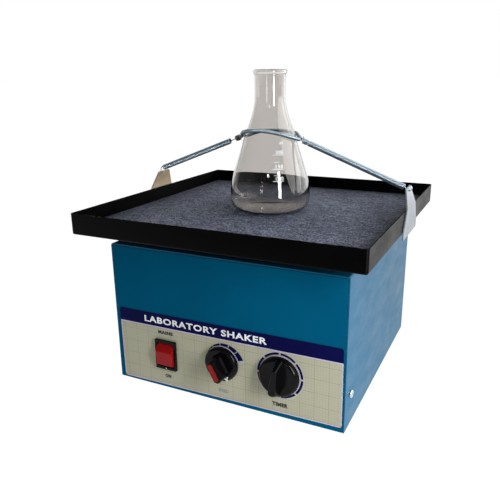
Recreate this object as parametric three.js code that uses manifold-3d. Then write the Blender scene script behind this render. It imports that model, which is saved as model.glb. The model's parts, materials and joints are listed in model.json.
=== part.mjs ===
// Platform shaker: a square tray that orbits on a crank above a sheet-metal housing, with a conical
// flask held on the tray by springs. Millimetres, +Z up, +X to the operator's right, -Y to the operator.
// The origin is on the bench, under the middle of the tray in its rest position.
import * as THREE from 'three';
import { mergeVertices } from 'three/addons/utils/BufferGeometryUtils.js';
import Module from 'manifold-3d';

const wasm = await Module();
wasm.setup();

// ---------------------------------------------------------------- driving dimensions

const GAP = 0.3;                       // clearance kept between pieces that touch or slide
const ORBIT = 9.5;                     // crank radius: the platform's orbit is 19 mm across

const FOOT_HEIGHT = 8;
const HOUSING = { width: 256, depth: 256, height: 154, sheet: 1.5, bend: 2.5 };
const AXIS_Y = ORBIT;                  // the crank turns about the housing's middle, behind the tray's
const FRONT = AXIS_Y - HOUSING.depth / 2;
const BACK = AXIS_Y + HOUSING.depth / 2;
const FLOOR = FOOT_HEIGHT;
const ROOF = FOOT_HEIGHT + HOUSING.height;

const TRAY = { size: 300, wall: 21.6, sheet: 1.2, corner: 3, lift: 14.6 };
const TRAY_BOTTOM = ROOF + TRAY.lift;
const RIM = TRAY_BOTTOM + TRAY.wall;
const MAT = { margin: 1, top: TRAY_BOTTOM + 7.8 };

const FLASK = {
  x: -1.4, y: 4, wall: 2, body: 43.5, neck: 16.5, rim: 18,
  bodyHeight: 19, coneTop: 87, neckBottom: 122, height: 148,
};
const FLASK_BOTTOM = MAT.top + GAP;

const PANEL = { x: 1.6, width: 247.5, height: 80.6, thick: 0.4, lift: 4.1, tilt: 0.65 };
const LAYER = PANEL.thick + 2 * GAP;   // the printed skin and its gaps, in front of the chassis
const SWITCH = {
  x: -65.2, z: 47.4, width: 25.6, height: 33.4, flange: 2.4,
  body: { width: 22, height: 28.6, depth: 22 },
  pocket: { width: 20.4, height: 26.8, depth: 9 },
  rocker: { width: 19.6, depth: 5, ridge: [9.2, 3.2], reach: 12, edge: 4.4, tilt: 12, pivot: -1 },
  blade: { pitch: 7, width: 6.4, thick: 0.8, length: 9 },
};
const SPEED = {
  x: 1.6, z: 52.8, radius: 18.2, pointing: 152, hole: 4.8, top: 22,
  gripReach: 7.4, gripRadius: 4, shift: 1.4,
};
const INSET = { reach: 7, recess: 2.6, radius: 2.3, bottom: 20.4 };  // the red bar in the speed knob
const TIMER = {
  x: 63.6, z: 53.4, radius: 20.6, pointing: 186, hole: 5.5, top: 19,
  gripRadius: 4.2, base: 20, crest: 13.3,
};
const KNOB = { lift: 1.6, hollow: 8.5, stem: 3, socket: 3.4 };

const FOOT = { spread: 100, radius: 11, recess: 4, stem: 3.4, hole: 3.8, barb: 1.8 };
const SCREW = { shank: 1.9, hole: 2.3, head: 3.9, rise: 2.6, slot: 1 };
const SIDE_SCREW = { inset: 16.3, z: 41.2, length: 7 };
const REAR_FLANGE = { width: 18, screwInset: 9 };
const INLET = {
  x: -66, z: 44, cutout: [27.6, 20.2], flange: [48, 28], socket: [24, 16.4], depth: 16,
  pins: [[-7, -2], [0, 2], [7, -2]],
};
const FUSE = { x: -14, z: 44, radius: 6, collar: 8, bore: 4.4, depth: 32 };
const BOARD = { x: -67, y: AXIS_Y + 52, z: 16, width: 74, depth: 58, thick: 1.6 };

const IDLER_SPAN = 85;                 // idler cranks stand this far from the main crank along X and Y
const DECK = { bottom: 118, top: 122, half: 106 };
const WEB_BOTTOM = 150.3;              // underside of the crank webs
const PULLEY = { drive: 45, motor: 12, bottom: 90, height: 14, flange: 1.7 };
const MOTOR = { x: 75, y: AXIS_Y + 50, radius: 30, top: 84, shaft: 4, foot: 64 };
const SHAFT = { radius: 7.5, pin: 6, pinTop: 172.8, web: 7, counterweight: 62 };
const BEARING = { outer: 17.5, height: 11, lower: DECK.top + 4.9, upper: DECK.top + 16.5 };
const HOUSING_TUBE = { radius: 24, flange: 38, thick: 5, top: DECK.top + 27.7, lip: 12 };
const IDLER = { shaft: 5, collar: 9, pin: 4, web: 8.5, tube: 11, flange: 16 };
const RAIL = { web: 110, foot: 124, head: 95, sheet: 2, half: 95 };

const PLATE = { bottom: TRAY_BOTTOM - 3.3, top: TRAY_BOTTOM - GAP, arm: 13, hub: 30, collar: 20, boss: 9 };
const PLATFORM_BEARING = { outer: 16, bottom: ROOF + 1.8, height: 9.2 };
const TRAY_SCREW = { span: 60, length: 4.4 };
const ROOF_HOLE = { crank: 19, idler: 16 };

const BRACKET = {
  y: 11, base: 64, tip: 24, sheet: 1.5, lean: 4.5, hole: 1.6,
  bottom: 171, shoulder: 178.5, eye: 215, top: 217.8,
};
// each coil's end by its bracket, how far its other end stops short of the knot, and its hook in X and Z
const SPRING = {
  radius: 3.3,
  wire: 0.8,
  left: {
    end: [-146.2, BRACKET.y, 221.3],
    short: 11,
    hook: [[147.6, 222.4], [150, 221], [150.9, 217.8], [149.8, 215.6], [147.4, 215], [145.2, 215.1]],
  },
  right: {
    end: [143, BRACKET.y, 217.8],
    short: 3.8,
    hook: [[144.8, 216], [146.8, 215], [149.2, 214.8], [150.6, 216.6], [149.6, 219.4], [147.4, 220.2]],
  },
};
const KNOT = { left: [-41.5, 7, 260.8], right: [38.2, 7, 259.4], radius: 3.3, bore: 2.4, length: 6 };
const STRAND = { radius: 2.1, reach: 30.3, start: 6.4 };
const ARCH = { front: { side: -1, rise: 12.4, power: 0.8 }, back: { side: 1, rise: 7.6, power: 0.35 } };

// ---------------------------------------------------------------- materials

const paint = { color: 0x0a5c86, roughness: 0.4, metalness: 0.1 };
const blackPaint = { color: 0x121212, roughness: 0.45, metalness: 0.1 };
const rubber = { color: 0x5d6270, roughness: 0.95, metalness: 0 };
const blackRubber = { color: 0x18181a, roughness: 0.9, metalness: 0 };
const blackPlastic = { color: 0x101012, roughness: 0.3, metalness: 0 };
const redPlastic = { color: 0xb01218, roughness: 0.35, metalness: 0 };
const whitePlastic = { color: 0xdcd8c8, roughness: 0.5, metalness: 0 };
const film = { color: 0xb9b79a, roughness: 0.4, metalness: 0 };
const steel = { color: 0xb8bcc0, roughness: 0.3, metalness: 0.9 };
const darkSteel = { color: 0x6e7276, roughness: 0.45, metalness: 0.8 };
const zincSteel = { color: 0xcac4b0, roughness: 0.45, metalness: 0.6 };
const castAluminium = { color: 0xa4a6a8, roughness: 0.6, metalness: 0.7 };
const circuitBoard = { color: 0x2d6b3c, roughness: 0.6, metalness: 0 };
const glass = { color: 0xe8eeee, roughness: 0.05, metalness: 0, transparent: true, opacity: 0.35 };

// ---------------------------------------------------------------- solid helpers

const radians = THREE.MathUtils.degToRad;

/** Makes a manifold from a closed geometry, turned outward if its faces point in. */
function toSolid(geometry) {
  const bare = geometry.clone();
  bare.deleteAttribute('normal');
  bare.deleteAttribute('uv');
  const merged = mergeVertices(bare, 1e-4);
  const points = merged.attributes.position;
  const corners = [0, 1, 2].map(() => new THREE.Vector3());
  const faces = [];
  let volume = 0;
  for (let i = 0; i < merged.index.count; i += 3) {
    const face = [0, 1, 2].map((k) => merged.index.getX(i + k));
    if (new Set(face).size < 3) continue;
    face.forEach((vertex, k) => corners[k].fromBufferAttribute(points, vertex));
    volume += corners[0].dot(corners[1].clone().cross(corners[2]));
    faces.push(face);
  }
  if (volume < 0) faces.forEach((face) => face.reverse());
  return new wasm.Manifold(new wasm.Mesh({
    numProp: 3,
    vertProperties: new Float32Array(points.array),
    triVerts: new Uint32Array(faces.flat()),
  }));
}

function toGeometry(manifold) {
  const mesh = manifold.getMesh();
  const geometry = new THREE.BufferGeometry();
  geometry.setAttribute('position', new THREE.BufferAttribute(new Float32Array(mesh.vertProperties), 3));
  geometry.setIndex(new THREE.BufferAttribute(new Uint32Array(mesh.triVerts), 1));
  return geometry;
}

const join = (...parts) => toGeometry(parts.map(toSolid).reduce((whole, part) => whole.add(part)));
const cut = (body, ...tools) => toGeometry(tools.map(toSolid).reduce((rest, tool) => rest.subtract(tool),
  toSolid(body)));
const common = (a, b) => toGeometry(toSolid(a).intersect(toSolid(b)));

/** A block between two corners. */
function block(low, high) {
  const size = high.map((value, k) => value - low[k]);
  const middle = high.map((value, k) => (value + low[k]) / 2);
  return new THREE.BoxGeometry(...size).translate(...middle);
}

/** An upright cylinder from z0 to z1. */
function post(radius, z0, z1, x = 0, y = 0, sides = 12) {
  return new THREE.CylinderGeometry(radius, radius, z1 - z0, sides)
    .rotateX(Math.PI / 2)
    .translate(x, y, (z0 + z1) / 2);
}

/** A turned piece about +Z from a closed profile of [radius, height] pairs. */
function turned(profile, sides = 24) {
  const points = [...profile, profile[0]].map(([radius, height]) => new THREE.Vector2(radius, height));
  return new THREE.LatheGeometry(points, sides).rotateX(Math.PI / 2);
}

/** A turned ring, open through the middle, between two radii and two heights. */
const ring = (inner, outer, z0, z1, sides = 24) =>
  turned([[inner, z0], [outer, z0], [outer, z1], [inner, z1]], sides);

/** An outline in plan, extruded from z0 to z1; each arc in it is divided into twice this many segments. */
function slab(outline, z0, z1, segments = 4) {
  const options = { depth: z1 - z0, bevelEnabled: false, curveSegments: segments };
  return new THREE.ExtrudeGeometry(outline, options).translate(0, 0, z0);
}

function polygon(points) {
  return new THREE.Shape(points.map(([x, y]) => new THREE.Vector2(x, y)));
}

function roundedRectangle(width, depth, radius, x = 0, y = 0) {
  const [w, d] = [width / 2, depth / 2];
  const outline = new THREE.Shape();
  outline.absarc(x + w - radius, y - d + radius, radius, -Math.PI / 2, 0);
  outline.absarc(x + w - radius, y + d - radius, radius, 0, Math.PI / 2);
  outline.absarc(x - w + radius, y + d - radius, radius, Math.PI / 2, Math.PI);
  outline.absarc(x - w + radius, y - d + radius, radius, Math.PI, 1.5 * Math.PI);
  return outline;
}

/** A bar in plan with round ends, between two points. */
function stadium(x0, y0, x1, y1, radius) {
  const heading = Math.atan2(y1 - y0, x1 - x0);
  const outline = new THREE.Shape();
  outline.absarc(x0, y0, radius, heading + Math.PI / 2, heading + 1.5 * Math.PI);
  outline.absarc(x1, y1, radius, heading - Math.PI / 2, heading + Math.PI / 2);
  return outline;
}

/** A round rod along a smooth line through the given points. */
function rod(points, radius, steps, sides = 8) {
  const section = new THREE.Shape();
  section.absarc(0, 0, radius, 0, 2 * Math.PI);
  const path = new THREE.CatmullRomCurve3(points);
  const options = { steps, bevelEnabled: false, curveSegments: sides / 2, extrudePath: path };
  return new THREE.ExtrudeGeometry(section, options);
}

/** Turns a piece made about +Z to point out of the front panel, and sets it at (x, FRONT, z). */
const faceFront = (geometry, x, z) => geometry.rotateX(Math.PI / 2).translate(x, FRONT, z);

/** The same for the back panel. */
const faceBack = (geometry, x, z) => geometry.rotateX(-Math.PI / 2).translate(x, BACK, z);

/** Puts a named piece into a group. */
function place(group, name, geometry, look, position = [0, 0, 0]) {
  const mesh = new THREE.Mesh(geometry, new THREE.MeshStandardMaterial(look));
  mesh.name = name;
  mesh.position.set(...position);
  group.add(mesh);
  return mesh;
}

const corners = [[-1, -1], [1, -1], [-1, 1], [1, 1]];

// ---------------------------------------------------------------- housing

function chassisGeometry() {
  const { sheet } = HOUSING;
  const half = HOUSING.width / 2 - sheet - GAP;
  const top = ROOF - sheet - GAP;
  const flange = 20;
  const panels = [
    block([-half, FRONT, FLOOR], [half, BACK, FLOOR + sheet]),
    block([-half, FRONT, FLOOR], [half, FRONT + sheet, top]),
    block([-half, BACK - sheet, FLOOR], [half, BACK, top]),
  ];
  for (const side of [-1, 1]) {
    const [low, high] = [side * half, side * (half - sheet)].sort((a, b) => a - b);
    panels.push(block([low, FRONT, FLOOR], [high, FRONT + flange, top]));
    panels.push(block([low, BACK - flange, FLOOR], [high, BACK, top]));
  }
  const [inletWidth, inletHeight] = INLET.cutout;
  const openings = [
    ...controlHoles(-2 * sheet, 1),
    block([INLET.x - inletWidth / 2, BACK - sheet - 1, INLET.z - inletHeight / 2],
      [INLET.x + inletWidth / 2, BACK + 1, INLET.z + inletHeight / 2]),
    faceBack(post(FUSE.radius + GAP, -2 * sheet, 1), FUSE.x, FUSE.z),
  ];
  for (const [x, y] of corners) {
    openings.push(post(FOOT.hole, FLOOR - 1, FLOOR + sheet + 1, x * FOOT.spread, AXIS_Y + y * FOOT.spread));
  }
  for (const side of [-1, 1]) {
    openings.push(sideHole(side));
    openings.push(rearHole(side));
  }
  return cut(join(...panels), ...openings);
}

/** The openings for the switch, the speed control and the timer, between two depths. */
function controlHoles(z0, z1) {
  const { width, height } = SWITCH.body;
  const [halfWidth, halfHeight] = [width / 2 + GAP, height / 2 + GAP];
  return [
    faceFront(block([-halfWidth, -halfHeight, z0], [halfWidth, halfHeight, z1]), SWITCH.x, SWITCH.z),
    faceFront(post(SPEED.hole, z0, z1), SPEED.x, SPEED.z),
    faceFront(post(TIMER.hole, z0, z1), TIMER.x, TIMER.z),
  ];
}

/** A hole tool through one side wall, where the side screw goes. */
function sideHole(side) {
  return post(SCREW.hole, -6, 6)
    .rotateY(Math.PI / 2)
    .translate(side * HOUSING.width / 2, FRONT + SIDE_SCREW.inset, SIDE_SCREW.z);
}

/** A hole tool through the back wall, where the rear screw goes. */
function rearHole(side) {
  return post(SCREW.hole, -6, 6)
    .rotateX(Math.PI / 2)
    .translate(side * (HOUSING.width / 2 - REAR_FLANGE.screwInset), BACK, SIDE_SCREW.z);
}

function coverGeometry() {
  const { width, sheet, bend } = HOUSING;
  const half = width / 2;
  const wrap = (inset, radius) => {
    const outline = new THREE.Shape();
    outline.moveTo(half - inset, FLOOR);
    outline.lineTo(half - inset, ROOF - inset - radius);
    outline.absarc(half - inset - radius, ROOF - inset - radius, radius, 0, Math.PI / 2);
    outline.absarc(inset + radius - half, ROOF - inset - radius, radius, Math.PI / 2, Math.PI);
    outline.lineTo(inset - half, FLOOR);
    return outline.getPoints(2);
  };
  const section = new THREE.Shape([...wrap(0, bend), ...wrap(sheet, bend - sheet).reverse()]);
  const rear = BACK + GAP + sheet;
  // the outline is drawn in X and Z, so the block is laid down along +Y
  const lay = (geometry) => geometry.rotateX(Math.PI / 2).translate(0, rear, 0);
  let shell = lay(slab(section, 0, rear - FRONT));
  for (const side of [-1, 1]) {
    const [low, high] = [side * half, side * (half - REAR_FLANGE.width)].sort((a, b) => a - b);
    shell = join(shell, block([low, BACK + GAP, FLOOR], [high, rear, ROOF - bend]));
  }
  const holes = [post(ROOF_HOLE.crank, ROOF - 5, ROOF + 5, 0, AXIS_Y, 20)];
  for (const [x, y] of corners) {
    holes.push(post(ROOF_HOLE.idler, ROOF - 5, ROOF + 5, x * IDLER_SPAN, AXIS_Y + y * IDLER_SPAN));
  }
  for (const side of [-1, 1]) {
    holes.push(sideHole(side));
    holes.push(rearHole(side));
  }
  return cut(shell, ...holes);
}

/** A slotted pan-head screw along +Z: the head stands above z = 0, the shank goes down. */
function screwGeometry(length) {
  const { shank, head, rise, slot } = SCREW;
  const body = turned([
    [0, -length], [shank, -length], [shank, GAP], [head, GAP],
    [head, rise - 1.2], [head - 1.3, rise], [0, rise],
  ], 12);
  return cut(body, block([-slot / 2, -head - 1, rise - 0.9], [slot / 2, head + 1, rise + 1]));
}

/** A rubber foot with a stem that snaps through the chassis floor. */
function footGeometry() {
  const { radius, recess, stem, barb } = FOOT;
  const top = FLOOR + HOUSING.sheet;
  return turned([
    [0, 2], [recess, 2], [recess, 0], [radius - 1.5, 0], [radius, 1.5], [radius, FLOOR - GAP],
    [stem, FLOOR - GAP], [stem, top + GAP], [stem + barb, top + GAP], [stem, top + 3], [0, top + 3],
  ], 12);
}

function buildHousing(group) {
  place(group, 'chassis', chassisGeometry(), paint);
  place(group, 'cover', coverGeometry(), paint);
  for (const [name, side] of [['left', -1], ['right', 1]]) {
    const sideScrew = place(group, `cover_screw_${name}`, screwGeometry(SIDE_SCREW.length), steel,
      [side * HOUSING.width / 2, FRONT + SIDE_SCREW.inset, SIDE_SCREW.z]);
    sideScrew.rotation.set(side * 0.6, side * Math.PI / 2, 0);
    const rearScrew = place(group, `cover_screw_rear_${name}`, screwGeometry(SIDE_SCREW.length), steel,
      [side * (HOUSING.width / 2 - REAR_FLANGE.screwInset), BACK + GAP + HOUSING.sheet, SIDE_SCREW.z]);
    rearScrew.rotation.set(-Math.PI / 2, 0, side * 0.4);
  }
  corners.forEach(([x, y], index) => {
    place(group, `foot_${index + 1}`, footGeometry(), blackRubber,
      [x * FOOT.spread, AXIS_Y + y * FOOT.spread, 0]);
  });
}

// ---------------------------------------------------------------- front panel controls

function overlayGeometry() {
  const sheet = slab(roundedRectangle(PANEL.width, PANEL.height, 1.5), GAP, GAP + PANEL.thick, 1)
    .rotateZ(radians(PANEL.tilt));   // it is stuck on a little out of level
  const middle = FLOOR + PANEL.lift + PANEL.height / 2;
  return cut(faceFront(sheet, PANEL.x, middle), ...controlHoles(-2, 2));
}

/** Switch body and bezel, about +Z out of the panel, with the pocket that the rocker tilts in. */
function bezelGeometry() {
  const { width, height, flange, body, pocket, blade } = SWITCH;
  const face = LAYER + flange;
  const rim = slab(roundedRectangle(width, height, 1.2), LAYER, face, 1);
  const box = block([-body.width / 2, -body.height / 2, -body.depth],
    [body.width / 2, body.height / 2, LAYER + 1]);
  const hollow = block([-pocket.width / 2, -pocket.height / 2, -pocket.depth],
    [pocket.width / 2, pocket.height / 2, face + 1]);
  const blades = [-blade.pitch, 0, blade.pitch].map((y) => block(
    [-blade.width / 2, y - blade.thick / 2, -body.depth - blade.length],
    [blade.width / 2, y + blade.thick / 2, 1 - body.depth]));
  return cut(join(rim, box, ...blades), hollow);
}

/** The rocker in its tilted rest position: a wide V whose ridge stands out above its middle. */
function rockerGeometry() {
  const { width, depth, ridge, reach, edge, tilt, pivot } = SWITCH.rocker;
  const side = polygon([
    [-depth, 3 - reach], [edge - 1.4, -reach], [edge, 0.2 - reach], ridge,
    [edge, reach - 0.2], [edge - 1.4, reach], [-depth, reach - 3],
  ]);
  // the outline is drawn outward and up from the pivot
  return slab(side, -width / 2, width / 2)
    .rotateZ(radians(tilt))
    .applyMatrix4(new THREE.Matrix4().set(
      0, 0, -1, SWITCH.x,
      -1, 0, 0, FRONT - pivot,
      0, 1, 0, SWITCH.z,
      0, 0, 0, 1));
}

/** Potentiometer body behind the panel with its threaded bush through it, about +Z out of the panel. */
function potGeometry() {
  const [can, bush, face] = [12, SPEED.hole - GAP, 4.6];
  return turned([
    [0, -15], [can, -15], [can, -4], [bush, -4], [bush, face],
    [KNOB.socket, face], [KNOB.socket, -12], [0, -12],
  ], 16);
}

function potNutGeometry() {
  const hexagon = post(6.6, LAYER, LAYER + 2.2, 0, 0, 6);
  return cut(hexagon, post(SPEED.hole, 0, 6));
}

/** A bar across the speed knob, nearer its pointing end, between two heights. */
function speedBar(reach, radius, low, high, steps = 4) {
  return slab(stadium(0, SPEED.shift - reach, 0, SPEED.shift + reach, radius), low, high, steps);
}

/** Speed knob: a skirt with a grip bar, a hollow back over the nut, and a stem into the pot. */
function speedKnobGeometry() {
  const { radius, gripReach, gripRadius, top } = SPEED;
  const { lift, hollow, stem } = KNOB;
  const skirt = turned([
    [0, 4.9], [hollow, 4.9], [hollow, lift], [radius, lift], [radius, 5.4], [radius - 1.4, 6.8], [0, 6.8],
  ], 28);
  const grip = speedBar(gripReach, gripRadius, 6, top - 0.6);
  const recess = speedBar(INSET.reach, INSET.recess, INSET.bottom, top, 3);
  return cut(join(skirt, grip, post(stem, -10, 6)), recess);
}

function speedPointerGeometry() {
  return speedBar(INSET.reach, INSET.radius, INSET.bottom + GAP, SPEED.top, 3);
}

/** Timer movement behind the panel with a bush through it. */
function timerBodyGeometry() {
  const box = block([-23, -23, -36], [23, 23, -2]);
  return cut(join(box, post(TIMER.hole - 0.4, -4, 4.6)), post(KNOB.socket, -18, 6));
}

/** Timer knob: a broad disc with a grip ridge whose ends slope up to a shorter crest, and a stem. */
function timerKnobGeometry() {
  const { radius, gripRadius, top, base, crest } = TIMER;
  const { lift, hollow, stem } = KNOB;
  const disc = turned([
    [0, 5], [hollow, 5], [hollow, lift], [radius, lift], [radius - 0.6, 6.4], [radius - 2.2, 8], [0, 8],
  ], 28);
  const side = polygon([[-base, 7], [base, 7], [crest, top], [-crest, top]]);
  // the side outline is drawn in Y and Z
  const slopes = slab(side, -gripRadius, gripRadius).applyMatrix4(new THREE.Matrix4().set(
    0, 0, 1, 0,
    1, 0, 0, 0,
    0, 1, 0, 0,
    0, 0, 0, 1));
  const plan = slab(stadium(0, gripRadius - base, 0, base - gripRadius, gripRadius), 6, top + 1);
  return join(disc, common(slopes, plan), post(stem, -16, 6));
}

/** Turns a control so that its +Y side points the given way, clockwise from up for the operator. */
const pointed = (geometry, clockwise) => geometry.rotateZ(-radians(clockwise));

function buildControls(group) {
  place(group, 'front_overlay', overlayGeometry(), film);
  place(group, 'switch_bezel', faceFront(bezelGeometry(), SWITCH.x, SWITCH.z), blackPlastic);
  place(group, 'rocker', rockerGeometry(), redPlastic);
  place(group, 'speed_pot', faceFront(potGeometry(), SPEED.x, SPEED.z), zincSteel);
  place(group, 'pot_nut', faceFront(potNutGeometry(), SPEED.x, SPEED.z), steel);
  const onSpeed = (geometry) => faceFront(pointed(geometry, SPEED.pointing), SPEED.x, SPEED.z);
  place(group, 'speed_knob', onSpeed(speedKnobGeometry()), blackPlastic);
  place(group, 'speed_pointer', onSpeed(speedPointerGeometry()), redPlastic);
  place(group, 'timer_body', faceFront(timerBodyGeometry(), TIMER.x, TIMER.z), whitePlastic);
  const timerKnob = pointed(timerKnobGeometry(), TIMER.pointing);
  place(group, 'timer_knob', faceFront(timerKnob, TIMER.x, TIMER.z), blackPlastic);
}

// ---------------------------------------------------------------- back panel and control board

/** Mains inlet with three pins, about +Z out of the back panel. */
function inletGeometry() {
  const { cutout: [width, height], flange, socket, depth, pins } = INLET;
  const face = slab(roundedRectangle(...flange, 3), GAP, GAP + 3, 2);
  const body = block([GAP - width / 2, GAP - height / 2, -depth], [width / 2 - GAP, height / 2 - GAP, 1]);
  const hollow = block([-socket[0] / 2, -socket[1] / 2, 3 - depth], [socket[0] / 2, socket[1] / 2, 5]);
  const blades = pins.map(([x, y]) => block([x - 1, y - 2, 2 - depth], [x + 1, y + 2, 1]));
  return join(cut(join(face, body), hollow), ...blades);
}

/** Fuse holder tube with a front collar, open at the front. */
function fuseHolderGeometry() {
  const { radius, collar, bore, depth } = FUSE;
  return turned([
    [0, -depth], [radius, -depth], [radius, GAP], [collar, GAP], [collar, 2.4],
    [bore, 2.4], [bore, 4 - depth], [0, 4 - depth],
  ], 16);
}

function fuseCapGeometry() {
  const [plug, head, face] = [FUSE.bore - 0.4, 6.6, 9];
  const cap = turned([[0, -24], [plug, -24], [plug, 2.7], [head, 2.7], [head - 0.4, face], [0, face]], 16);
  return cut(cap, block([-5, -0.6, face - 1.2], [5, 0.6, face + 1]));
}

/** Circuit board on four legs, with a heat sink, a capacitor and a terminal strip in one piece with it. */
function boardGeometry() {
  const { x, y, z, width, depth, thick } = BOARD;
  const [w, d] = [width / 2, depth / 2];
  const board = block([x - w, y - d, z], [x + w, y + d, z + thick]);
  const heatSink = block([x - 30, y + 12, z + 1], [x - 4, y + 15, z + 26]);
  const capacitor = post(8, z + 1, z + 24, x + 18, y + 8);
  const terminals = block([x - 4, y - 26, z + 1], [x + 30, y - 18, z + 12]);
  const relay = block([x - 28, y - 20, z + 1], [x - 12, y - 4, z + 10]);
  const parts = [board, heatSink, capacitor, terminals, relay];
  for (const [cx, cy] of corners) {
    parts.push(post(3, FLOOR + HOUSING.sheet + GAP, z + 1, x + cx * (w - 4), y + cy * (d - 4), 8));
  }
  return join(...parts);
}

function buildElectrics(group) {
  // an outward piece on the back panel is seen from behind, so its own X is turned over with it
  const outward = (geometry, x, z) => faceBack(geometry.rotateZ(Math.PI), x, z);
  place(group, 'mains_inlet', outward(inletGeometry(), INLET.x, INLET.z), blackPlastic);
  place(group, 'fuse_holder', outward(fuseHolderGeometry(), FUSE.x, FUSE.z), blackPlastic);
  place(group, 'fuse_cap', outward(fuseCapGeometry(), FUSE.x, FUSE.z), blackPlastic);
  place(group, 'control_board', boardGeometry(), circuitBoard);
}

// ---------------------------------------------------------------- drive

/** A Z-section rail from the chassis floor up to the deck, along Y. */
function railGeometry(side) {
  const { web, foot, head, sheet, half } = RAIL;
  const [low, high] = [FLOOR + HOUSING.sheet + GAP, DECK.bottom - GAP];
  const outline = polygon([
    [web, low], [foot, low], [foot, low + sheet], [web + sheet, low + sheet],
    [web + sheet, high], [head, high], [head, high - sheet], [web, high - sheet],
  ].map(([x, z]) => [side * x, z]));
  return slab(outline, -half, half).rotateX(Math.PI / 2).translate(0, AXIS_Y, 0);
}

/** Deck plate with a hole for the crankshaft and one for each idler crank. */
function deckGeometry() {
  const { bottom, top, half } = DECK;
  const plate = slab(roundedRectangle(2 * half, 2 * half, 6, 0, AXIS_Y), bottom, top, 1);
  const hole = (radius, x, y, sides) => post(radius, bottom - 1, top + 1, x, AXIS_Y + y, sides);
  const holes = corners.map(([x, y]) => hole(IDLER.shaft + 2, x * IDLER_SPAN, y * IDLER_SPAN));
  return cut(plate, hole(HOUSING_TUBE.lip + 1, 0, 0, 20), ...holes);
}

/** Flanged tube on the deck that holds the two main bearings, closed in at the bottom by a lip. */
function mainHousingGeometry() {
  const { radius, flange, thick, top, lip } = HOUSING_TUBE;
  const [bore, foot] = [BEARING.outer + GAP, DECK.top + GAP];
  return turned([
    [lip, foot], [flange, foot], [flange, foot + thick], [radius, foot + thick], [radius, top],
    [bore, top], [bore, foot + thick - 1], [lip, foot + thick - 1],
  ]);
}

/** Crankshaft: shaft, half-round counterweight opposite the pin, and the pin that the platform rides on. */
function crankshaftGeometry() {
  const { radius, pinTop, web, counterweight } = SHAFT;
  const webTop = WEB_BOTTOM + web;
  const shaft = post(radius, PULLEY.bottom - 4, WEB_BOTTOM + 1, 0, ORBIT, 24);
  const boss = post(20, WEB_BOTTOM, webTop, 0, ORBIT - 2, 24);
  const [from, to] = [radians(8), radians(172)];
  const weight = new THREE.Shape();
  weight.absarc(0, ORBIT, counterweight, from, to);
  weight.absarc(0, ORBIT, 14, to, from, true);
  const pin = post(SHAFT.pin, webTop - 1, pinTop, 0, 0, 24);
  return join(shaft, boss, slab(weight, WEB_BOTTOM, webTop, 10), pin);
}

/** A flanged flat-belt pulley about +Z, bored for its shaft. */
function pulleyGeometry(groove, bore, sides) {
  const { height, flange } = PULLEY;
  const rim = groove + 4.6;
  return turned([
    [bore, 0], [rim, 0], [rim, flange], [groove, flange],
    [groove, height - flange], [rim, height - flange], [rim, height], [bore, height],
  ], sides);
}

/** Flat belt round both pulleys: two arcs joined by the outer tangents. */
function beltGeometry() {
  const away = new THREE.Vector2(MOTOR.x, MOTOR.y - AXIS_Y);
  const heading = away.angle();
  const wrap = Math.acos((PULLEY.drive - PULLEY.motor) / away.length());
  const loop = (path, offset) => {
    path.absarc(0, AXIS_Y, PULLEY.drive + offset, heading + wrap, heading - wrap + 2 * Math.PI);
    path.absarc(MOTOR.x, MOTOR.y, PULLEY.motor + offset, heading - wrap, heading + wrap);
    return path;
  };
  const outline = loop(new THREE.Shape(), 3);
  outline.holes.push(loop(new THREE.Path(), GAP));
  const bottom = PULLEY.bottom + PULLEY.flange + GAP;
  return slab(outline, bottom, PULLEY.bottom + PULLEY.height - PULLEY.flange - GAP, 10);
}

/** Motor can on a square foot plate, with a bore at the top for its shaft. */
function motorGeometry() {
  const floor = FLOOR + HOUSING.sheet + GAP;
  const { radius, top, shaft, foot } = MOTOR;
  const can = turned([[0, floor + 3], [radius, floor + 3], [radius, top - 6], [radius - 4, top], [0, top]]);
  const plate = slab(roundedRectangle(foot, foot, 6), floor, floor + 4, 1);
  return cut(join(can, plate), post(shaft + GAP, top - 30, top + 2));
}

/** Flanged bearing tube for one idler crank, standing on the deck. */
function idlerHousingGeometry() {
  const { shaft, tube, flange } = IDLER;
  const [bore, foot, top] = [shaft + GAP, DECK.top + GAP, DECK.top + 24];
  return turned([
    [bore, foot], [flange, foot], [flange, foot + 4], [tube, foot + 4], [tube, top], [bore, top],
  ], 16);
}

/** Idler crank: collared shaft, short web and upper pin, the same throw as the main crank. */
function idlerCrankGeometry() {
  const { shaft, collar, pin, web } = IDLER;
  const shoulder = DECK.bottom - GAP;
  const axle = turned([
    [0, shoulder - 6], [collar, shoulder - 6], [collar, shoulder],
    [shaft, shoulder], [shaft, WEB_BOTTOM + 1], [0, WEB_BOTTOM + 1],
  ], 14).translate(0, ORBIT, 0);
  const arm = slab(stadium(0, 0, 0, ORBIT, web), WEB_BOTTOM, WEB_BOTTOM + 5);
  return join(axle, arm, post(pin, WEB_BOTTOM + 4, TRAY_BOTTOM - 1.2, 0, 0, 14));
}

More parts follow.
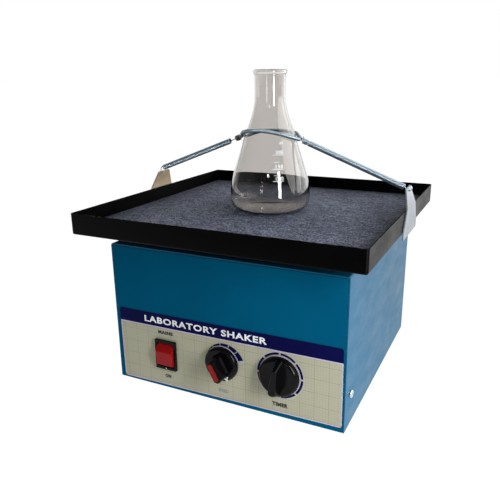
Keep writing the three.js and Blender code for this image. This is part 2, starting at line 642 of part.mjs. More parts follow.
function buildDrive(group) {
  place(group, 'deck_rail_left', railGeometry(-1), zincSteel);
  place(group, 'deck_rail_right', railGeometry(1), zincSteel);
  place(group, 'deck_plate', deckGeometry(), zincSteel);
  place(group, 'main_bearing_housing', mainHousingGeometry(), castAluminium, [0, AXIS_Y, 0]);
  for (const level of ['lower', 'upper']) {
    const bottom = BEARING[level];
    const race = ring(SHAFT.radius + GAP, BEARING.outer, bottom, bottom + BEARING.height);
    place(group, `main_bearing_${level}`, race, steel, [0, AXIS_Y, 0]);
  }
  place(group, 'crankshaft', crankshaftGeometry(), darkSteel);
  place(group, 'drive_pulley', pulleyGeometry(PULLEY.drive, SHAFT.radius + GAP, 30), castAluminium,
    [0, AXIS_Y, PULLEY.bottom]);
  place(group, 'belt', beltGeometry(), blackRubber);
  place(group, 'motor', motorGeometry(), darkSteel, [MOTOR.x, MOTOR.y, 0]);
  place(group, 'motor_shaft', post(MOTOR.shaft, MOTOR.top - 28, PULLEY.bottom + PULLEY.height + 2), steel,
    [MOTOR.x, MOTOR.y, 0]);
  place(group, 'motor_pulley', pulleyGeometry(PULLEY.motor, MOTOR.shaft + GAP, 20), castAluminium,
    [MOTOR.x, MOTOR.y, PULLEY.bottom]);
  corners.forEach(([x, y], index) => {
    const [px, py] = [x * IDLER_SPAN, y * IDLER_SPAN];
    place(group, `idler_housing_${index + 1}`, idlerHousingGeometry(), castAluminium, [px, py + AXIS_Y, 0]);
    place(group, `idler_crank_${index + 1}`, idlerCrankGeometry(), darkSteel, [px, py, 0]);
  });
}

// ---------------------------------------------------------------- platform

/** Cross-shaped frame under the tray: a hub for the bearing, and a bored boss at each arm's end. */
function carrierGeometry() {
  const { bottom, top, arm, hub, collar, boss } = PLATE;
  const parts = [
    slab(stadium(-IDLER_SPAN, -IDLER_SPAN, IDLER_SPAN, IDLER_SPAN, arm), bottom, top, 3),
    slab(stadium(-IDLER_SPAN, IDLER_SPAN, IDLER_SPAN, -IDLER_SPAN, arm), bottom, top, 3),
    post(hub, bottom, top, 0, 0, 20),
    ring(PLATFORM_BEARING.outer + GAP, collar, PLATFORM_BEARING.bottom, bottom + 1),
  ];
  const holes = [];
  for (const [x, y] of corners) {
    parts.push(post(boss, ROOF + 4, bottom + 1, x * IDLER_SPAN, y * IDLER_SPAN));
    holes.push(post(IDLER.pin + GAP, ROOF, top + 1, x * IDLER_SPAN, y * IDLER_SPAN));
    holes.push(post(SCREW.hole, ROOF, top + 1, x * TRAY_SCREW.span, y * TRAY_SCREW.span, 8));
  }
  return cut(join(...parts), ...holes);
}

function trayGeometry() {
  const { size, sheet, corner } = TRAY;
  const inner = size - 2 * sheet;
  const holes = corners.map(([x, y]) =>
    post(SCREW.hole, TRAY_BOTTOM - 1, TRAY_BOTTOM + 3, x * TRAY_SCREW.span, y * TRAY_SCREW.span, 8));
  return cut(slab(roundedRectangle(size, size, corner), TRAY_BOTTOM, RIM, 3),
    slab(roundedRectangle(inner, inner, corner - sheet), TRAY_BOTTOM + sheet, RIM + 1, 3), ...holes);
}

function matGeometry() {
  const size = TRAY.size - 2 * TRAY.sheet - 2 * MAT.margin;
  return slab(roundedRectangle(size, size, 2), TRAY_BOTTOM + TRAY.sheet + GAP, MAT.top, 1);
}

/** Spring bracket for the +X side: a plate spot welded to the tray's wall, with an ear leaning in. */
function bracketGeometry() {
  const { y, base, tip, bottom, shoulder, top, sheet, lean, hole } = BRACKET;
  const wall = TRAY.size / 2 + GAP;
  const bend = RIM + 1.5;
  const strip = polygon([
    [wall, bottom], [wall + sheet, bottom], [wall + sheet, bend],
    [wall + sheet - lean, top], [wall - lean, top], [wall, bend],
  ]);
  const bent = slab(strip, -base, base).rotateX(Math.PI / 2).translate(0, y, 0);
  const ear = new THREE.Shape();
  ear.moveTo(-base / 2, bottom - 5);
  ear.lineTo(base / 2, bottom - 5);
  ear.lineTo(base / 2, shoulder);
  ear.absarc(tip / 2 - 3, top - 3, 3, radians(20), Math.PI / 2);
  ear.absarc(3 - tip / 2, top - 3, 3, Math.PI / 2, radians(160));
  ear.lineTo(-base / 2, shoulder);
  // the ear's outline is drawn in Y and Z
  const stand = (geometry) => geometry.applyMatrix4(new THREE.Matrix4().set(
    0, 0, 1, 0,
    1, 0, 0, y,
    0, 1, 0, 0,
    0, 0, 0, 1));
  const outline = stand(slab(ear, wall - 30, wall + 30, 2));
  const eye = stand(post(hole, wall - 30, wall + 30, 0, BRACKET.eye));
  return cut(common(bent, outline), eye);
}

/** Mirrors a +X piece to the -X side; the faces are turned back outward. */
function mirrored(geometry) {
  return toGeometry(toSolid(geometry.scale(-1, 1, 1)));
}

/** The straight line of one main spring: its bracket end, its direction and points past its knot. */
function springLine(name) {
  const low = new THREE.Vector3(...SPRING[name].end);
  const high = new THREE.Vector3(...KNOT[name]);
  const along = high.clone().sub(low).normalize();
  // a point this far past the knot along the line, and this far to the back of it
  const beyond = (reach, aside = 0) => {
    const point = high.clone().addScaledVector(along, reach);
    return point.setY(point.y + aside);
  };
  return { low, along, beyond };
}

/** Close-wound spring from the bracket up to the knot: its outer envelope, a wire hook and a wire tail. */
function springGeometry(name) {
  const { end, short, hook } = SPRING[name];
  const { low, along, beyond } = springLine(name);
  const coil = rod([low, beyond(-short)], SPRING.radius, 1, 10);
  const tail = rod([beyond(-short - 2), beyond(-0.4)], SPRING.wire, 1);
  const hookPoints = hook.map(([x, z]) => new THREE.Vector3(Math.sign(end[0]) * x, end[1], z));
  const bent = rod([low.clone().addScaledVector(along, 2), ...hookPoints], SPRING.wire, 12, 6);
  return join(coil, tail, bent);
}

/** Sleeve that ties a main spring to both strands of the loop, in line with the spring. */
function knotGeometry(name) {
  const { along } = springLine(name);
  const turn = new THREE.Quaternion().setFromUnitVectors(new THREE.Vector3(0, 0, 1), along);
  return ring(KNOT.bore, KNOT.radius, -KNOT.length / 2, KNOT.length / 2, 16)
    .applyQuaternion(turn)
    .translate(...KNOT[name]);
}

/** One strand of the loop, from knot to knot round the front or the back of the flask. */
function strandGeometry({ side, rise, power }) {
  const { reach, radius, start } = STRAND;
  const centre = new THREE.Vector2(FLASK.x, FLASK.y);
  const [left, right] = [KNOT.left, KNOT.right].map((knot) => new THREE.Vector3(...knot));
  // the strand lies on a circle round the flask between the two points where the knots' tangents touch it
  const tangent = (knot) => Math.acos(reach / centre.distanceTo(new THREE.Vector2(knot.x, knot.y)));
  const from = Math.PI - tangent(left);
  const to = tangent(right);
  const arcSteps = 6;
  const points = [];
  for (let i = 0; i <= arcSteps; i += 1) {
    const angle = from + (to - from) * i / arcSteps;
    const x = centre.x + reach * Math.cos(angle);
    const share = (x - left.x) / (right.x - left.x);
    const z = left.z + (right.z - left.z) * share + rise * Math.sin(Math.PI * share) ** power;
    points.push(new THREE.Vector3(x, centre.y + side * reach * Math.sin(angle), z));
  }
  const lines = ['left', 'right'].map(springLine);
  const aside = side * (radius + 0.6);
  const coil = rod([lines[0].beyond(start, aside), ...points, lines[1].beyond(start, aside)], radius, 20);
  const stubs = lines.map(({ beyond }) => rod(
    [beyond(0.8, side * 1.1), beyond(3.6, side * 1.2), beyond(start + 1, aside)], SPRING.wire, 5, 6));
  return join(coil, ...stubs);
}

/** Conical flask, turned from its outer and inner outlines about its own axis. */
function flaskGeometry() {
  const { wall, body, bodyHeight, coneTop, neckBottom, neck, rim, height } = FLASK;
  const coneBottom = bodyHeight + 28;
  const outer = new THREE.Path();
  outer.moveTo(0, 0.8);
  outer.lineTo(body - 18, 0);
  outer.quadraticCurveTo(body, 0, body, bodyHeight - 2);
  outer.quadraticCurveTo(body, bodyHeight + 9, body - 5.4, coneBottom);
  outer.lineTo(neck + 8.8, coneTop);
  outer.quadraticCurveTo(neck, neckBottom - 14, neck, neckBottom);
  outer.lineTo(neck, height - 6);
  outer.lineTo(rim, height - 3.5);
  outer.lineTo(rim, height - 1);
  outer.lineTo(rim - 1.2, height);
  const [innerBody, bore] = [body - wall, neck - wall];
  const inner = new THREE.Path();
  inner.moveTo(bore + 0.6, height);
  inner.lineTo(bore, height - 3);
  inner.lineTo(bore, neckBottom);
  inner.quadraticCurveTo(bore, neckBottom - 14, bore + 8.6, coneTop);
  inner.lineTo(innerBody - 5.4, coneBottom);
  inner.quadraticCurveTo(innerBody, bodyHeight + 9, innerBody, bodyHeight - 2);
  inner.quadraticCurveTo(innerBody, 2.4, body - 19, 2.4);
  inner.lineTo(0, 3.2);
  const outline = [...outer.getPoints(3), ...inner.getPoints(3)].map((point) => [point.x, point.y]);
  return turned(outline);
}

function buildPlatform(group) {
  const bearing = PLATFORM_BEARING;
  place(group, 'platform_bearing',
    ring(SHAFT.pin + GAP, bearing.outer, bearing.bottom, bearing.bottom + bearing.height), steel);
  place(group, 'platform_carrier', carrierGeometry(), zincSteel);
  corners.forEach(([x, y], index) => {
    const screw = place(group, `tray_screw_${index + 1}`, screwGeometry(TRAY_SCREW.length), steel,
      [x * TRAY_SCREW.span, y * TRAY_SCREW.span, PLATE.bottom]);
    screw.rotation.x = Math.PI;
  });
  place(group, 'tray', trayGeometry(), blackPaint);
  place(group, 'mat', matGeometry(), rubber);
  place(group, 'right_bracket', bracketGeometry(), zincSteel);
  place(group, 'left_bracket', mirrored(bracketGeometry()), zincSteel);
  for (const name of ['left', 'right']) {
    place(group, `${name}_spring`, springGeometry(name), steel);
    place(group, `${name}_knot`, knotGeometry(name), steel);
  }
  place(group, 'loop_front', strandGeometry(ARCH.front), steel);
  place(group, 'loop_back', strandGeometry(ARCH.back), steel);
  place(group, 'flask', flaskGeometry(), glass, [FLASK.x, FLASK.y, FLASK_BOTTOM]);
}

// ---------------------------------------------------------------- assembly

const shaker = new THREE.Group();
const sections = [buildHousing, buildControls, buildElectrics, buildDrive, buildPlatform];
for (const build of sections) {
  const section = new THREE.Group();
  build(section);
  shaker.add(section);
}

export default shaker;
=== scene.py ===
"""Looks of a platform shaker: an orbiting tray on a sheet-metal housing, and a flask held by springs.

Shapes are drawn in millimetres and scaled to metres as they are placed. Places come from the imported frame.
"""

import json
from math import acos, atan2, copysign, cos, pi, radians, sin

import bmesh
import bpy
from mathutils import Matrix, Vector, noise


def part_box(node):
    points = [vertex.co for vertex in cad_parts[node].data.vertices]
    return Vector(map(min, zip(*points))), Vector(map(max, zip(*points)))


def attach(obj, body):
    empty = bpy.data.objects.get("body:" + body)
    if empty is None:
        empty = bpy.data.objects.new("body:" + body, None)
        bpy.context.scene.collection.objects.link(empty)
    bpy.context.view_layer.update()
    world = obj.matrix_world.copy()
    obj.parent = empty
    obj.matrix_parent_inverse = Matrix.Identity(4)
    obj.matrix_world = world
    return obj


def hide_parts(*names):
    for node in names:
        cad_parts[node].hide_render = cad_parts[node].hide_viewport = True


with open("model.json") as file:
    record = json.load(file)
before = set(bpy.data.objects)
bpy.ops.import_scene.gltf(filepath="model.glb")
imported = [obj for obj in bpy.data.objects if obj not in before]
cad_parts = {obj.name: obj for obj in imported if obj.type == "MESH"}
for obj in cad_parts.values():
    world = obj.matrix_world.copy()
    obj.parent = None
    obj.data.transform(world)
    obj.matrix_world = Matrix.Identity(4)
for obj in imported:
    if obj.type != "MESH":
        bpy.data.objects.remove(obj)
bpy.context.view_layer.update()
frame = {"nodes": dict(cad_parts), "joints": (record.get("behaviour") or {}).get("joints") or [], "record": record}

MM = 0.001
UP = Vector((0, 0, 1))
BASE = "base"
PLATFORM = "platform"
SIDES = {"left": -1, "right": 1}


def linked(name, data):
    """A new object of the scene."""
    made = bpy.data.objects.new(name, data)
    bpy.context.scene.collection.objects.link(made)
    return made


# ---- camera, floor and light, in metres

AIM = Vector((-0.0251, 0.0, 0.1338))
ROOM = {"strength": 1.0, "shades": [(0.46, (0.14, 0.14, 0.14)), (0.68, (1.0, 1.0, 1.0))]}
# the floor's glow by emission: dim like a table before the edge line, white like paper behind it
SWEEP = {"toward": (-0.441, 0.897, 0.0), "edge": (-0.60, -0.27), "table": 0.13, "paper": 1.02}
CAMERA = {"azimuth": 26.16, "elevation": 17.05, "roll": -0.62, "distance": 0.648, "lens": 40.26}
KEY = {"toward": (0.86, 0.30, 0.50), "strength": 2.3, "spread": 62, "color": (1.0, 0.985, 0.96)}
LAMP_AIM = Vector((0, 0, 0.12))
LAMPS = {
    "right_lamp": {"place": (0.43, -0.34, 0.27), "size": (0.08, 0.36), "power": 3, "color": (0.97, 0.98, 1)},
    "front_spot": {"place": (0.30, -0.95, 0.62), "size": (0.07, 0.07), "power": 0.7, "color": (1, 1, 1)},
    "back_window": {"place": (0.95, 1.25, 0.42), "size": (1.3, 0.8), "power": 4, "color": (0.95, 0.98, 1)},
}
FLOOR_REACH = 60


def make_camera():
    azimuth, elevation, roll = (radians(CAMERA[key]) for key in ("azimuth", "elevation", "roll"))
    level = cos(elevation)
    back = Vector((sin(azimuth) * level, -cos(azimuth) * level, sin(elevation)))
    right = UP.cross(back).normalized()
    up = back.cross(right)
    rolled_right = cos(roll) * right + sin(roll) * up
    rolled_up = cos(roll) * up - sin(roll) * right
    data = bpy.data.cameras.new("camera")
    data.lens = CAMERA["lens"]
    data.clip_start = 0.01
    camera = linked("camera", data)
    turn = Matrix((rolled_right, rolled_up, back)).transposed().to_4x4()
    camera.matrix_world = Matrix.Translation(AIM + CAMERA["distance"] * back) @ turn
    bpy.context.scene.camera = camera


def soft_box(name, place, size, power, color):
    """A rectangular area light that looks at the object."""
    data = bpy.data.lights.new(name, "AREA")
    data.shape = "RECTANGLE"
    data.size, data.size_y = size
    data.energy = power
    data.color = color
    light = linked(name, data)
    light.location = place
    light.rotation_mode = "QUATERNION"
    light.rotation_quaternion = (LAMP_AIM - Vector(place)).to_track_quat("-Z", "Y")


def key_light(name, toward, strength, spread, color):
    """Even light from one side, as soft as its spread in degrees."""
    data = bpy.data.lights.new(name, "SUN")
    data.energy = strength
    data.angle = radians(spread)
    data.color = color
    light = linked(name, data)
    light.rotation_mode = "QUATERNION"
    light.rotation_quaternion = Vector(toward).to_track_quat("Z", "Y")


def make_studio():
    """A room that is white behind the object and dim in front of it, lit from the right."""
    scene = bpy.context.scene
    scene.view_settings.view_transform = "Standard"
    world = bpy.data.worlds.new("studio")
    scene.world = world
    world.use_nodes = True
    tree = world.node_tree
    background = tree.nodes["Background"]
    background.inputs["Strength"].default_value = ROOM["strength"]
    direction = tree.nodes.new("ShaderNodeTexCoord").outputs["Generated"]
    split = tree.nodes.new("ShaderNodeSeparateXYZ")
    ramp = tree.nodes.new("ShaderNodeValToRGB")
    tree.links.new(direction, split.inputs["Vector"])
    shift = tree.nodes.new("ShaderNodeMapRange")
    shift.inputs["From Min"].default_value = -1
    tree.links.new(split.outputs["Y"], shift.inputs["Value"])
    tree.links.new(shift.outputs["Result"], ramp.inputs["Fac"])
    tree.links.new(ramp.outputs["Color"], background.inputs["Color"])
    for element, (position, color) in zip(ramp.color_ramp.elements, ROOM["shades"]):
        element.position = position
        element.color = (*color, 1)
    key_light("key", **KEY)
    for name, lamp in LAMPS.items():
        soft_box(name, **lamp)
    floor = bpy.data.meshes.new("floor")
    corners = [(x * FLOOR_REACH, y * FLOOR_REACH, 0) for x, y in ((-1, -1), (1, -1), (1, 1), (-1, 1))]
    floor.from_pydata(corners, [], [(0, 1, 2, 3)])
    ground = linked("floor", floor)
    ground.data.materials.append(paper_sweep())


def paper_sweep():
    """A floor that glows white by emission behind a line in front of the object and glows dimly before it, like a
    dim table; it casts no shadow.
    """
    material = plain("glowing_floor_paper", (0.02, 0.02, 0.02), 1.0,
                     Specular_IOR_Level=0.0, Emission_Color=(1, 1, 1, 1))
    nodes = Nodes(material)
    along = nodes.dot(nodes.place, SWEEP["toward"])
    nodes.set(Emission_Strength=nodes.spread(along, SWEEP["table"], SWEEP["paper"], *SWEEP["edge"]))
    return material


# ---- materials

DUST_ROUGHNESS = 0.95


def plain(name, color, roughness, **sockets):
    """A Principled material with even values set on its own sockets."""
    material = bpy.data.materials.new(name)
    material.use_nodes = True
    shader = material.node_tree.nodes["Principled BSDF"]
    shader.inputs["Base Color"].default_value = (*color, 1)
    shader.inputs["Roughness"].default_value = roughness
    for socket, value in sockets.items():
        shader.inputs[socket.replace("_", " ")].default_value = value
    return material


class Nodes:
    """A short way to add nodes to a material's tree."""

    def __init__(self, material):
        self.tree = material.node_tree
        self.shader = self.tree.nodes["Principled BSDF"]
        self.place = self.tree.nodes.new("ShaderNodeTexCoord").outputs["Object"]

    def add(self, kind, inputs=(), **settings):
        node = self.tree.nodes.new("ShaderNode" + kind)
        for key, value in settings.items():
            setattr(node, key, value)
        for socket, value in dict(inputs).items():
            if isinstance(value, bpy.types.NodeSocket):
                self.tree.links.new(value, node.inputs[socket])
            else:
                node.inputs[socket].default_value = value
        return node

    def noise(self, scale, detail=4.0, roughness=0.55, stretch=(1, 1, 1)):
        """Noise with a feature size of about 1/scale metres, stretched along the axes."""
        vector = self.place
        if stretch != (1, 1, 1):
            vector = self.add("Mapping", {"Vector": self.place, "Scale": stretch}).outputs["Vector"]
        texture = self.add("TexNoise", {"Vector": vector, "Scale": scale, "Detail": detail,
                                        "Roughness": roughness})
        return texture.outputs["Fac"]

    def ramp(self, value, stops):
        """A colour ramp from (position, colour) pairs."""
        node = self.add("ValToRGB", {"Fac": value})
        elements = node.color_ramp.elements
        while len(elements) < len(stops):
            elements.new(0.5)
        for element, (position, color) in zip(elements, stops):
            element.position = position
            element.color = (*color, 1)
        return node.outputs["Color"]

    def spread(self, value, low, high, start=0.3, end=0.7):
        """Maps start to end onto low to high."""
        node = self.add("MapRange", {"Value": value, "From Min": start, "From Max": end,
                                     "To Min": low, "To Max": high})
        return node.outputs["Result"]

    def math(self, operation, a, b=0.0):
        return self.add("Math", {0: a, 1: b}, operation=operation).outputs[0]

    def times(self, a, b):
        return self.math("MULTIPLY", a, b)

    def dot(self, a, b):
        return self.add("VectorMath", {0: a, 1: b}, operation="DOT_PRODUCT").outputs["Value"]

    def mix(self, share, a, b, blend="MIX"):
        node = self.add("Mix", {0: share, 6: a, 7: b}, data_type="RGBA", blend_type=blend)
        return node.outputs[2]

    def clouded(self, color, scale, detail, dark, light, span=(0.3, 0.7)):
        """The colour in patches, from one shade of it to another; both are factors."""
        stops = [(span[0], shade(color, dark)), (span[1], shade(color, light))]
        return self.ramp(self.noise(scale, detail), stops)

    def bump(self, height, distance, strength=1.0):
        node = self.add("Bump", {"Height": height, "Distance": distance, "Strength": strength})
        return node.outputs["Normal"]

    def edges(self, radius):
        """1 on edges sharper than the radius, 0 on flat faces."""
        rounded = self.add("Bevel", {"Radius": radius}, samples=4).outputs["Normal"]
        straight = self.add("NewGeometry").outputs["Normal"]
        return self.spread(self.dot(rounded, straight), 1, 0, 0.75, 0.97)

    def set(self, **links):
        for socket, value in links.items():
            self.tree.links.new(value, self.shader.inputs[socket.replace("_", " ")])


def shade(color, factor):
    return tuple(min(1.0, channel * factor) for channel in color)


def enamel(name, color, roughness, wear, gloss):
    """Sprayed enamel on sheet metal: orange peel, clouding, smears, worn edges, dust on upward faces."""
    material = plain(name, color, roughness, Specular_IOR_Level=gloss)
    nodes = Nodes(material)
    tint = nodes.clouded(color, 9, 3, 0.93, 1.06, (0.35, 0.65))
    chipped = nodes.times(nodes.edges(0.0009), nodes.spread(nodes.noise(240, 5), 0, 1, 0.5, 0.62))
    nodes.set(Base_Color=nodes.mix(chipped, tint, (*wear, 1)))
    smear = nodes.spread(nodes.noise(26, 5, 0.6, (1, 1, 2.5)), roughness - 0.05, roughness + 0.08)
    facing_up = nodes.add("SeparateXYZ", {"Vector": nodes.add("NewGeometry").outputs["Normal"]}).outputs["Z"]
    dust = nodes.spread(facing_up, 0, DUST_ROUGHNESS, 0.8, 0.95)
    nodes.set(Roughness=nodes.math("MAXIMUM", smear, dust))
    settled = nodes.times(dust, 0.9)
    nodes.set(Specular_IOR_Level=nodes.math("SUBTRACT", gloss, nodes.times(settled, gloss)))
    nodes.set(Normal=nodes.bump(nodes.noise(420, 2), 0.00006, 0.35))
    return material


def moulded(name, color, roughness, grain=900, relief=0.00004, gloss=0.5):
    """Moulded plastic with a fine spark-eroded grain and slight clouding."""
    material = plain(name, color, roughness, Specular_IOR_Level=gloss)
    nodes = Nodes(material)
    nodes.set(Base_Color=nodes.clouded(color, 60, 3, 0.88, 1.12))
    nodes.set(Roughness=nodes.spread(nodes.noise(150, 4), roughness - 0.05, roughness + 0.07))
    nodes.set(Normal=nodes.bump(nodes.noise(grain, 2), relief, 0.5))
    return material


def metal(name, color, roughness, stretch=(1, 1, 1), tarnish=0.85, scale=300):
    """Bare or plated metal: drawn or ground along an axis, with uneven tarnish."""
    material = plain(name, color, roughness, Metallic=1.0)
    nodes = Nodes(material)
    patches = nodes.noise(45, 5, 0.6)
    nodes.set(Base_Color=nodes.ramp(patches, [(0.35, shade(color, tarnish)), (0.65, color)]))
    lines = nodes.noise(scale, 4, 0.6, stretch)
    nodes.set(Roughness=nodes.spread(lines, roughness - 0.08, roughness + 0.12))
    nodes.set(Normal=nodes.bump(lines, 0.00003, 0.4))
    return material


def rubber_mat(name):
    """Grey-blue rubber with a coarse light and dark speckle and a pebbled face; painted shade darkens it toward
    the tray's walls.
    """
    dark, middle, light = (0.002, 0.003, 0.008), (0.024, 0.028, 0.046), (0.26, 0.29, 0.38)
    material = plain(name, middle, 0.85, Specular_IOR_Level=0.25)
    nodes = Nodes(material)
    grain = nodes.times(nodes.noise(560, 3, 0.9), 0.74)
    streak = nodes.times(nodes.noise(230, 5, 0.8, (0.5, 1, 1)), 0.3)
    speckle = nodes.math("ADD", grain, streak)
    color = nodes.ramp(speckle, [(0.41, dark), (0.475, middle), (0.515, middle), (0.58, light)])
    clouds = nodes.ramp(nodes.noise(16, 4), [(0.3, (0.62, 0.63, 0.68)), (0.7, (1.0, 1.0, 1.0))])
    tinted = nodes.mix(1.0, color, clouds, "MULTIPLY")
    # painted shade: the mat turns darker toward its edges, where the tray's walls shade it
    split = nodes.add("SeparateXYZ", {"Vector": nodes.place})
    outward = nodes.math("MAXIMUM", nodes.math("ABSOLUTE", split.outputs["X"]),
                         nodes.math("ABSOLUTE", split.outputs["Y"]))
    painted_wall_shade = nodes.spread(outward, 0, 0.7, 0.098, 0.150)
    nodes.set(Base_Color=nodes.mix(painted_wall_shade, tinted, (*dark, 1)))
    nodes.set(Roughness=nodes.spread(speckle, 0.78, 0.95))
    nodes.set(Normal=nodes.bump(nodes.noise(650, 2), 0.0005, 0.8))
    return material


def printed_film(name, field, line, pitch, origin, tilt):
    """Cream film with a printed graph-paper grid: coarse squares, each with finer lines in it."""
    material = plain(name, field, 0.42, Specular_IOR_Level=0.2)
    nodes = Nodes(material)
    turned = nodes.add("Mapping", {"Vector": nodes.place, "Rotation": (0, radians(tilt), 0)})
    split = nodes.add("SeparateXYZ", {"Vector": turned.outputs["Vector"]})

    def lines(axis, step, width):
        across = nodes.math("ADD", split.outputs[axis], 100 * step - origin[axis])
        cell = nodes.math("PINGPONG", across, step / 2)
        return nodes.math("LESS_THAN", cell, width / 2)

    def grid(step, width):
        return nodes.math("MAXIMUM", lines("X", step, width), lines("Z", step, width))

    coarse, fine = grid(pitch, 0.0004), grid(pitch / 5, 0.00026)
    fade = nodes.spread(nodes.noise(22, 3), 0.5, 1.0)
    tone = nodes.clouded(field, 6, 2, 0.90, 1.06)
    pale = tuple((a + b) / 2 for a, b in zip(field, line))
    thin = nodes.mix(nodes.times(fine, nodes.times(fade, 0.8)), tone, (*pale, 1))
    strong = nodes.mix(nodes.times(coarse, nodes.times(fade, 0.85)), thin, (*line, 1))
    nodes.set(Base_Color=strong)
    nodes.set(Roughness=nodes.spread(nodes.noise(90, 3), 0.36, 0.5))
    return material


def ink(name, color):
    material = plain(name, color, 0.4, Specular_IOR_Level=0.03)
    nodes = Nodes(material)
    nodes.set(Base_Color=nodes.clouded(color, 70, 3, 0.85, 1.1))
    nodes.set(Roughness=nodes.spread(nodes.noise(200, 3), 0.34, 0.5))
    return material


def clear_glass(name):
    """Smoke-tinted borosilicate glass with faint draw lines from blowing."""
    material = plain(name, (0.71, 0.69, 0.67), 0.0, Transmission_Weight=1.0, IOR=1.42)
    nodes = Nodes(material)
    nodes.set(Normal=nodes.bump(nodes.noise(60, 2, 0.5, (1, 1, 0.25)), 0.00008, 0.25))
    return material


TEAL = (0.0008, 0.072, 0.145)
WORN_TEAL = (0.02, 0.06, 0.09)
BLACK = (0.002, 0.002, 0.0025)
LOOKS = {
    "paint": enamel("housing_enamel", TEAL, 0.36, WORN_TEAL, 0.13),
    "tray_paint": enamel("tray_enamel", (0.0003, 0.0003, 0.0005), 0.36, (0.16, 0.15, 0.13), 0.06),
    "rubber_mat": rubber_mat("mat_rubber"),
    "rubber": moulded("black_rubber", (0.018, 0.018, 0.02), 0.75, 700, 0.00008, 0.3),
    "black_plastic": moulded("black_moulding", BLACK, 0.2, gloss=0.1),
    "red_plastic": moulded("red_moulding", (0.25, 0.004, 0.005), 0.3, gloss=0.12),
    "white_plastic": moulded("white_moulding", (0.7, 0.68, 0.6), 0.5),
    "print": printed_film("overlay_film", (0.35, 0.35, 0.255), (0.20, 0.16, 0.12), 0.0143,
                          {"X": 0.0416, "Z": 0.014}, 0.65),
    "steel": metal("bright_steel", (0.66, 0.72, 0.76), 0.26, (1, 1, 6)),
    "spring_steel": metal("spring_steel", (0.42, 0.52, 0.58), 0.34, (1, 1, 6)),
    "dark_steel": metal("machined_steel", (0.32, 0.33, 0.35), 0.4, (1, 1, 8)),
    "zinc_steel": metal("zinc_plate", (0.33, 0.355, 0.385), 0.44, (1, 6, 1), 0.8),
    "cast": metal("cast_aluminium", (0.58, 0.59, 0.6), 0.55, (1, 1, 1), 0.8, 500),
    "circuit_board": moulded("solder_mask", (0.02, 0.16, 0.06), 0.4),
    "glass": clear_glass("flask_glass"),
}
LOOKS["front_paint"] = enamel("front_enamel", TEAL, 0.42, WORN_TEAL, 0.0)
# painted light: a lighter, warm copy of the bracket zinc that stands for the warm light and reflection on the left
# bracket
LOOKS["painted_lit_zinc"] = metal("zinc_with_painted_warm_light", (0.70, 0.56, 0.39), 0.48, (1, 6, 1), 0.85)
LOOKS["dull_wire"] = metal("dull_wire", (0.20, 0.19, 0.18), 0.42)
LOOKS["black_core"] = moulded("knob_moulding", BLACK, 0.16, gloss=0.12)
INKS = {
    "navy_ink": (0.002, 0.0025, 0.045),
    "pale_ink": (0.46, 0.43, 0.56),
    "black_ink": (0.022, 0.02, 0.035),
    "grey_ink": (0.13, 0.17, 0.27),
    "rose_ink": (0.40, 0.27, 0.27),
    "white_mark": (0.72, 0.74, 0.74),
}
LOOKS.update({name: ink(name, color) for name, color in INKS.items()})


# ---- shape building

ROUND_END_STEPS = 14


def add_piece(name, shape, look, body, nodes=(), place=None, crease=32):
    """Turns a bmesh drawn in millimetres into an object of the frame that rides on a body."""
    bmesh.ops.recalc_face_normals(shape, faces=shape.faces)
    shape.transform((place or Matrix()) @ Matrix.Scale(MM, 4))
    mesh = bpy.data.meshes.new(name)
    shape.to_mesh(mesh)
    shape.free()
    mesh.shade_smooth()
    mesh.set_sharp_from_angle(angle=radians(crease))
    mesh.materials.append(LOOKS[look])
    piece = linked(name, mesh)
    weighted = piece.modifiers.new("even_faces", "WEIGHTED_NORMAL")
    weighted.keep_sharp = True
    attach(piece, body)
    if nodes:
        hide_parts(*nodes)
    return piece


def merged(*shapes):
    """Joins several bmeshes into the first."""
    whole = shapes[0]
    for shape in shapes[1:]:
        mesh = bpy.data.meshes.new("part")
        shape.to_mesh(mesh)
        shape.free()
        whole.from_mesh(mesh)
        bpy.data.meshes.remove(mesh)
    return whole


def bevelled(shape, width, angle=35, segments=2, chosen=None):
    """Rounds the edges sharper than an angle, or only those that chosen accepts."""
    sharp = [edge for edge in shape.edges if len(edge.link_faces) == 2
             and edge.calc_face_angle(0) > radians(angle) and (chosen is None or chosen(edge))]
    bmesh.ops.bevel(shape, geom=sharp, offset=width, segments=segments, profile=0.6, affect="EDGES",
                    clamp_overlap=True)
    bmesh.ops.dissolve_degenerate(shape, dist=0.001, edges=shape.edges)
    return shape


def refined(node, width, angle=35, segments=2):
    """A copy of a CAD node's shape, in millimetres, with its flat faces made whole and its edges rounded."""
    shape = bmesh.new()
    shape.from_mesh(frame["nodes"][node].data)
    shape.transform(Matrix.Scale(1 / MM, 4))
    bmesh.ops.remove_doubles(shape, verts=shape.verts, dist=0.002)
    bmesh.ops.dissolve_limit(shape, angle_limit=radians(0.6), verts=shape.verts, edges=shape.edges)
    return bevelled(shape, width, angle, segments)


def skin(rings, caps=True):
    """A surface through equal rings of points, with or without caps on its two ends."""
    shape = bmesh.new()
    rows = [[shape.verts.new(point) for point in ring] for ring in rings]
    for low, high in zip(rows, rows[1:]):
        for k in range(len(low)):
            after = (k + 1) % len(low)
            shape.faces.new((low[k], low[after], high[after], high[k]))
    if caps:
        shape.faces.new(list(reversed(rows[0])))
        shape.faces.new(rows[-1])
    return shape


def lathe(profile, sides):
    """A turned piece about Z, from a profile that starts and ends on the axis."""
    turns = [2 * pi * k / sides for k in range(sides)]
    rings = [[(r * cos(turn), r * sin(turn), z) for turn in turns] for r, z in profile[1:-1]]
    shape = skin(rings, caps=False)
    for (_, z), start in ((profile[0], 0), (profile[-1], (len(rings) - 1) * sides)):
        pole = shape.verts.new((0, 0, z))
        shape.verts.ensure_lookup_table()
        for k in range(sides):
            shape.faces.new((shape.verts[start + k], shape.verts[start + (k + 1) % sides], pole))
    return shape


def quadratic(a, b, c, t):
    return tuple((1 - t) ** 2 * a + 2 * t * (1 - t) * b + t * t * c)


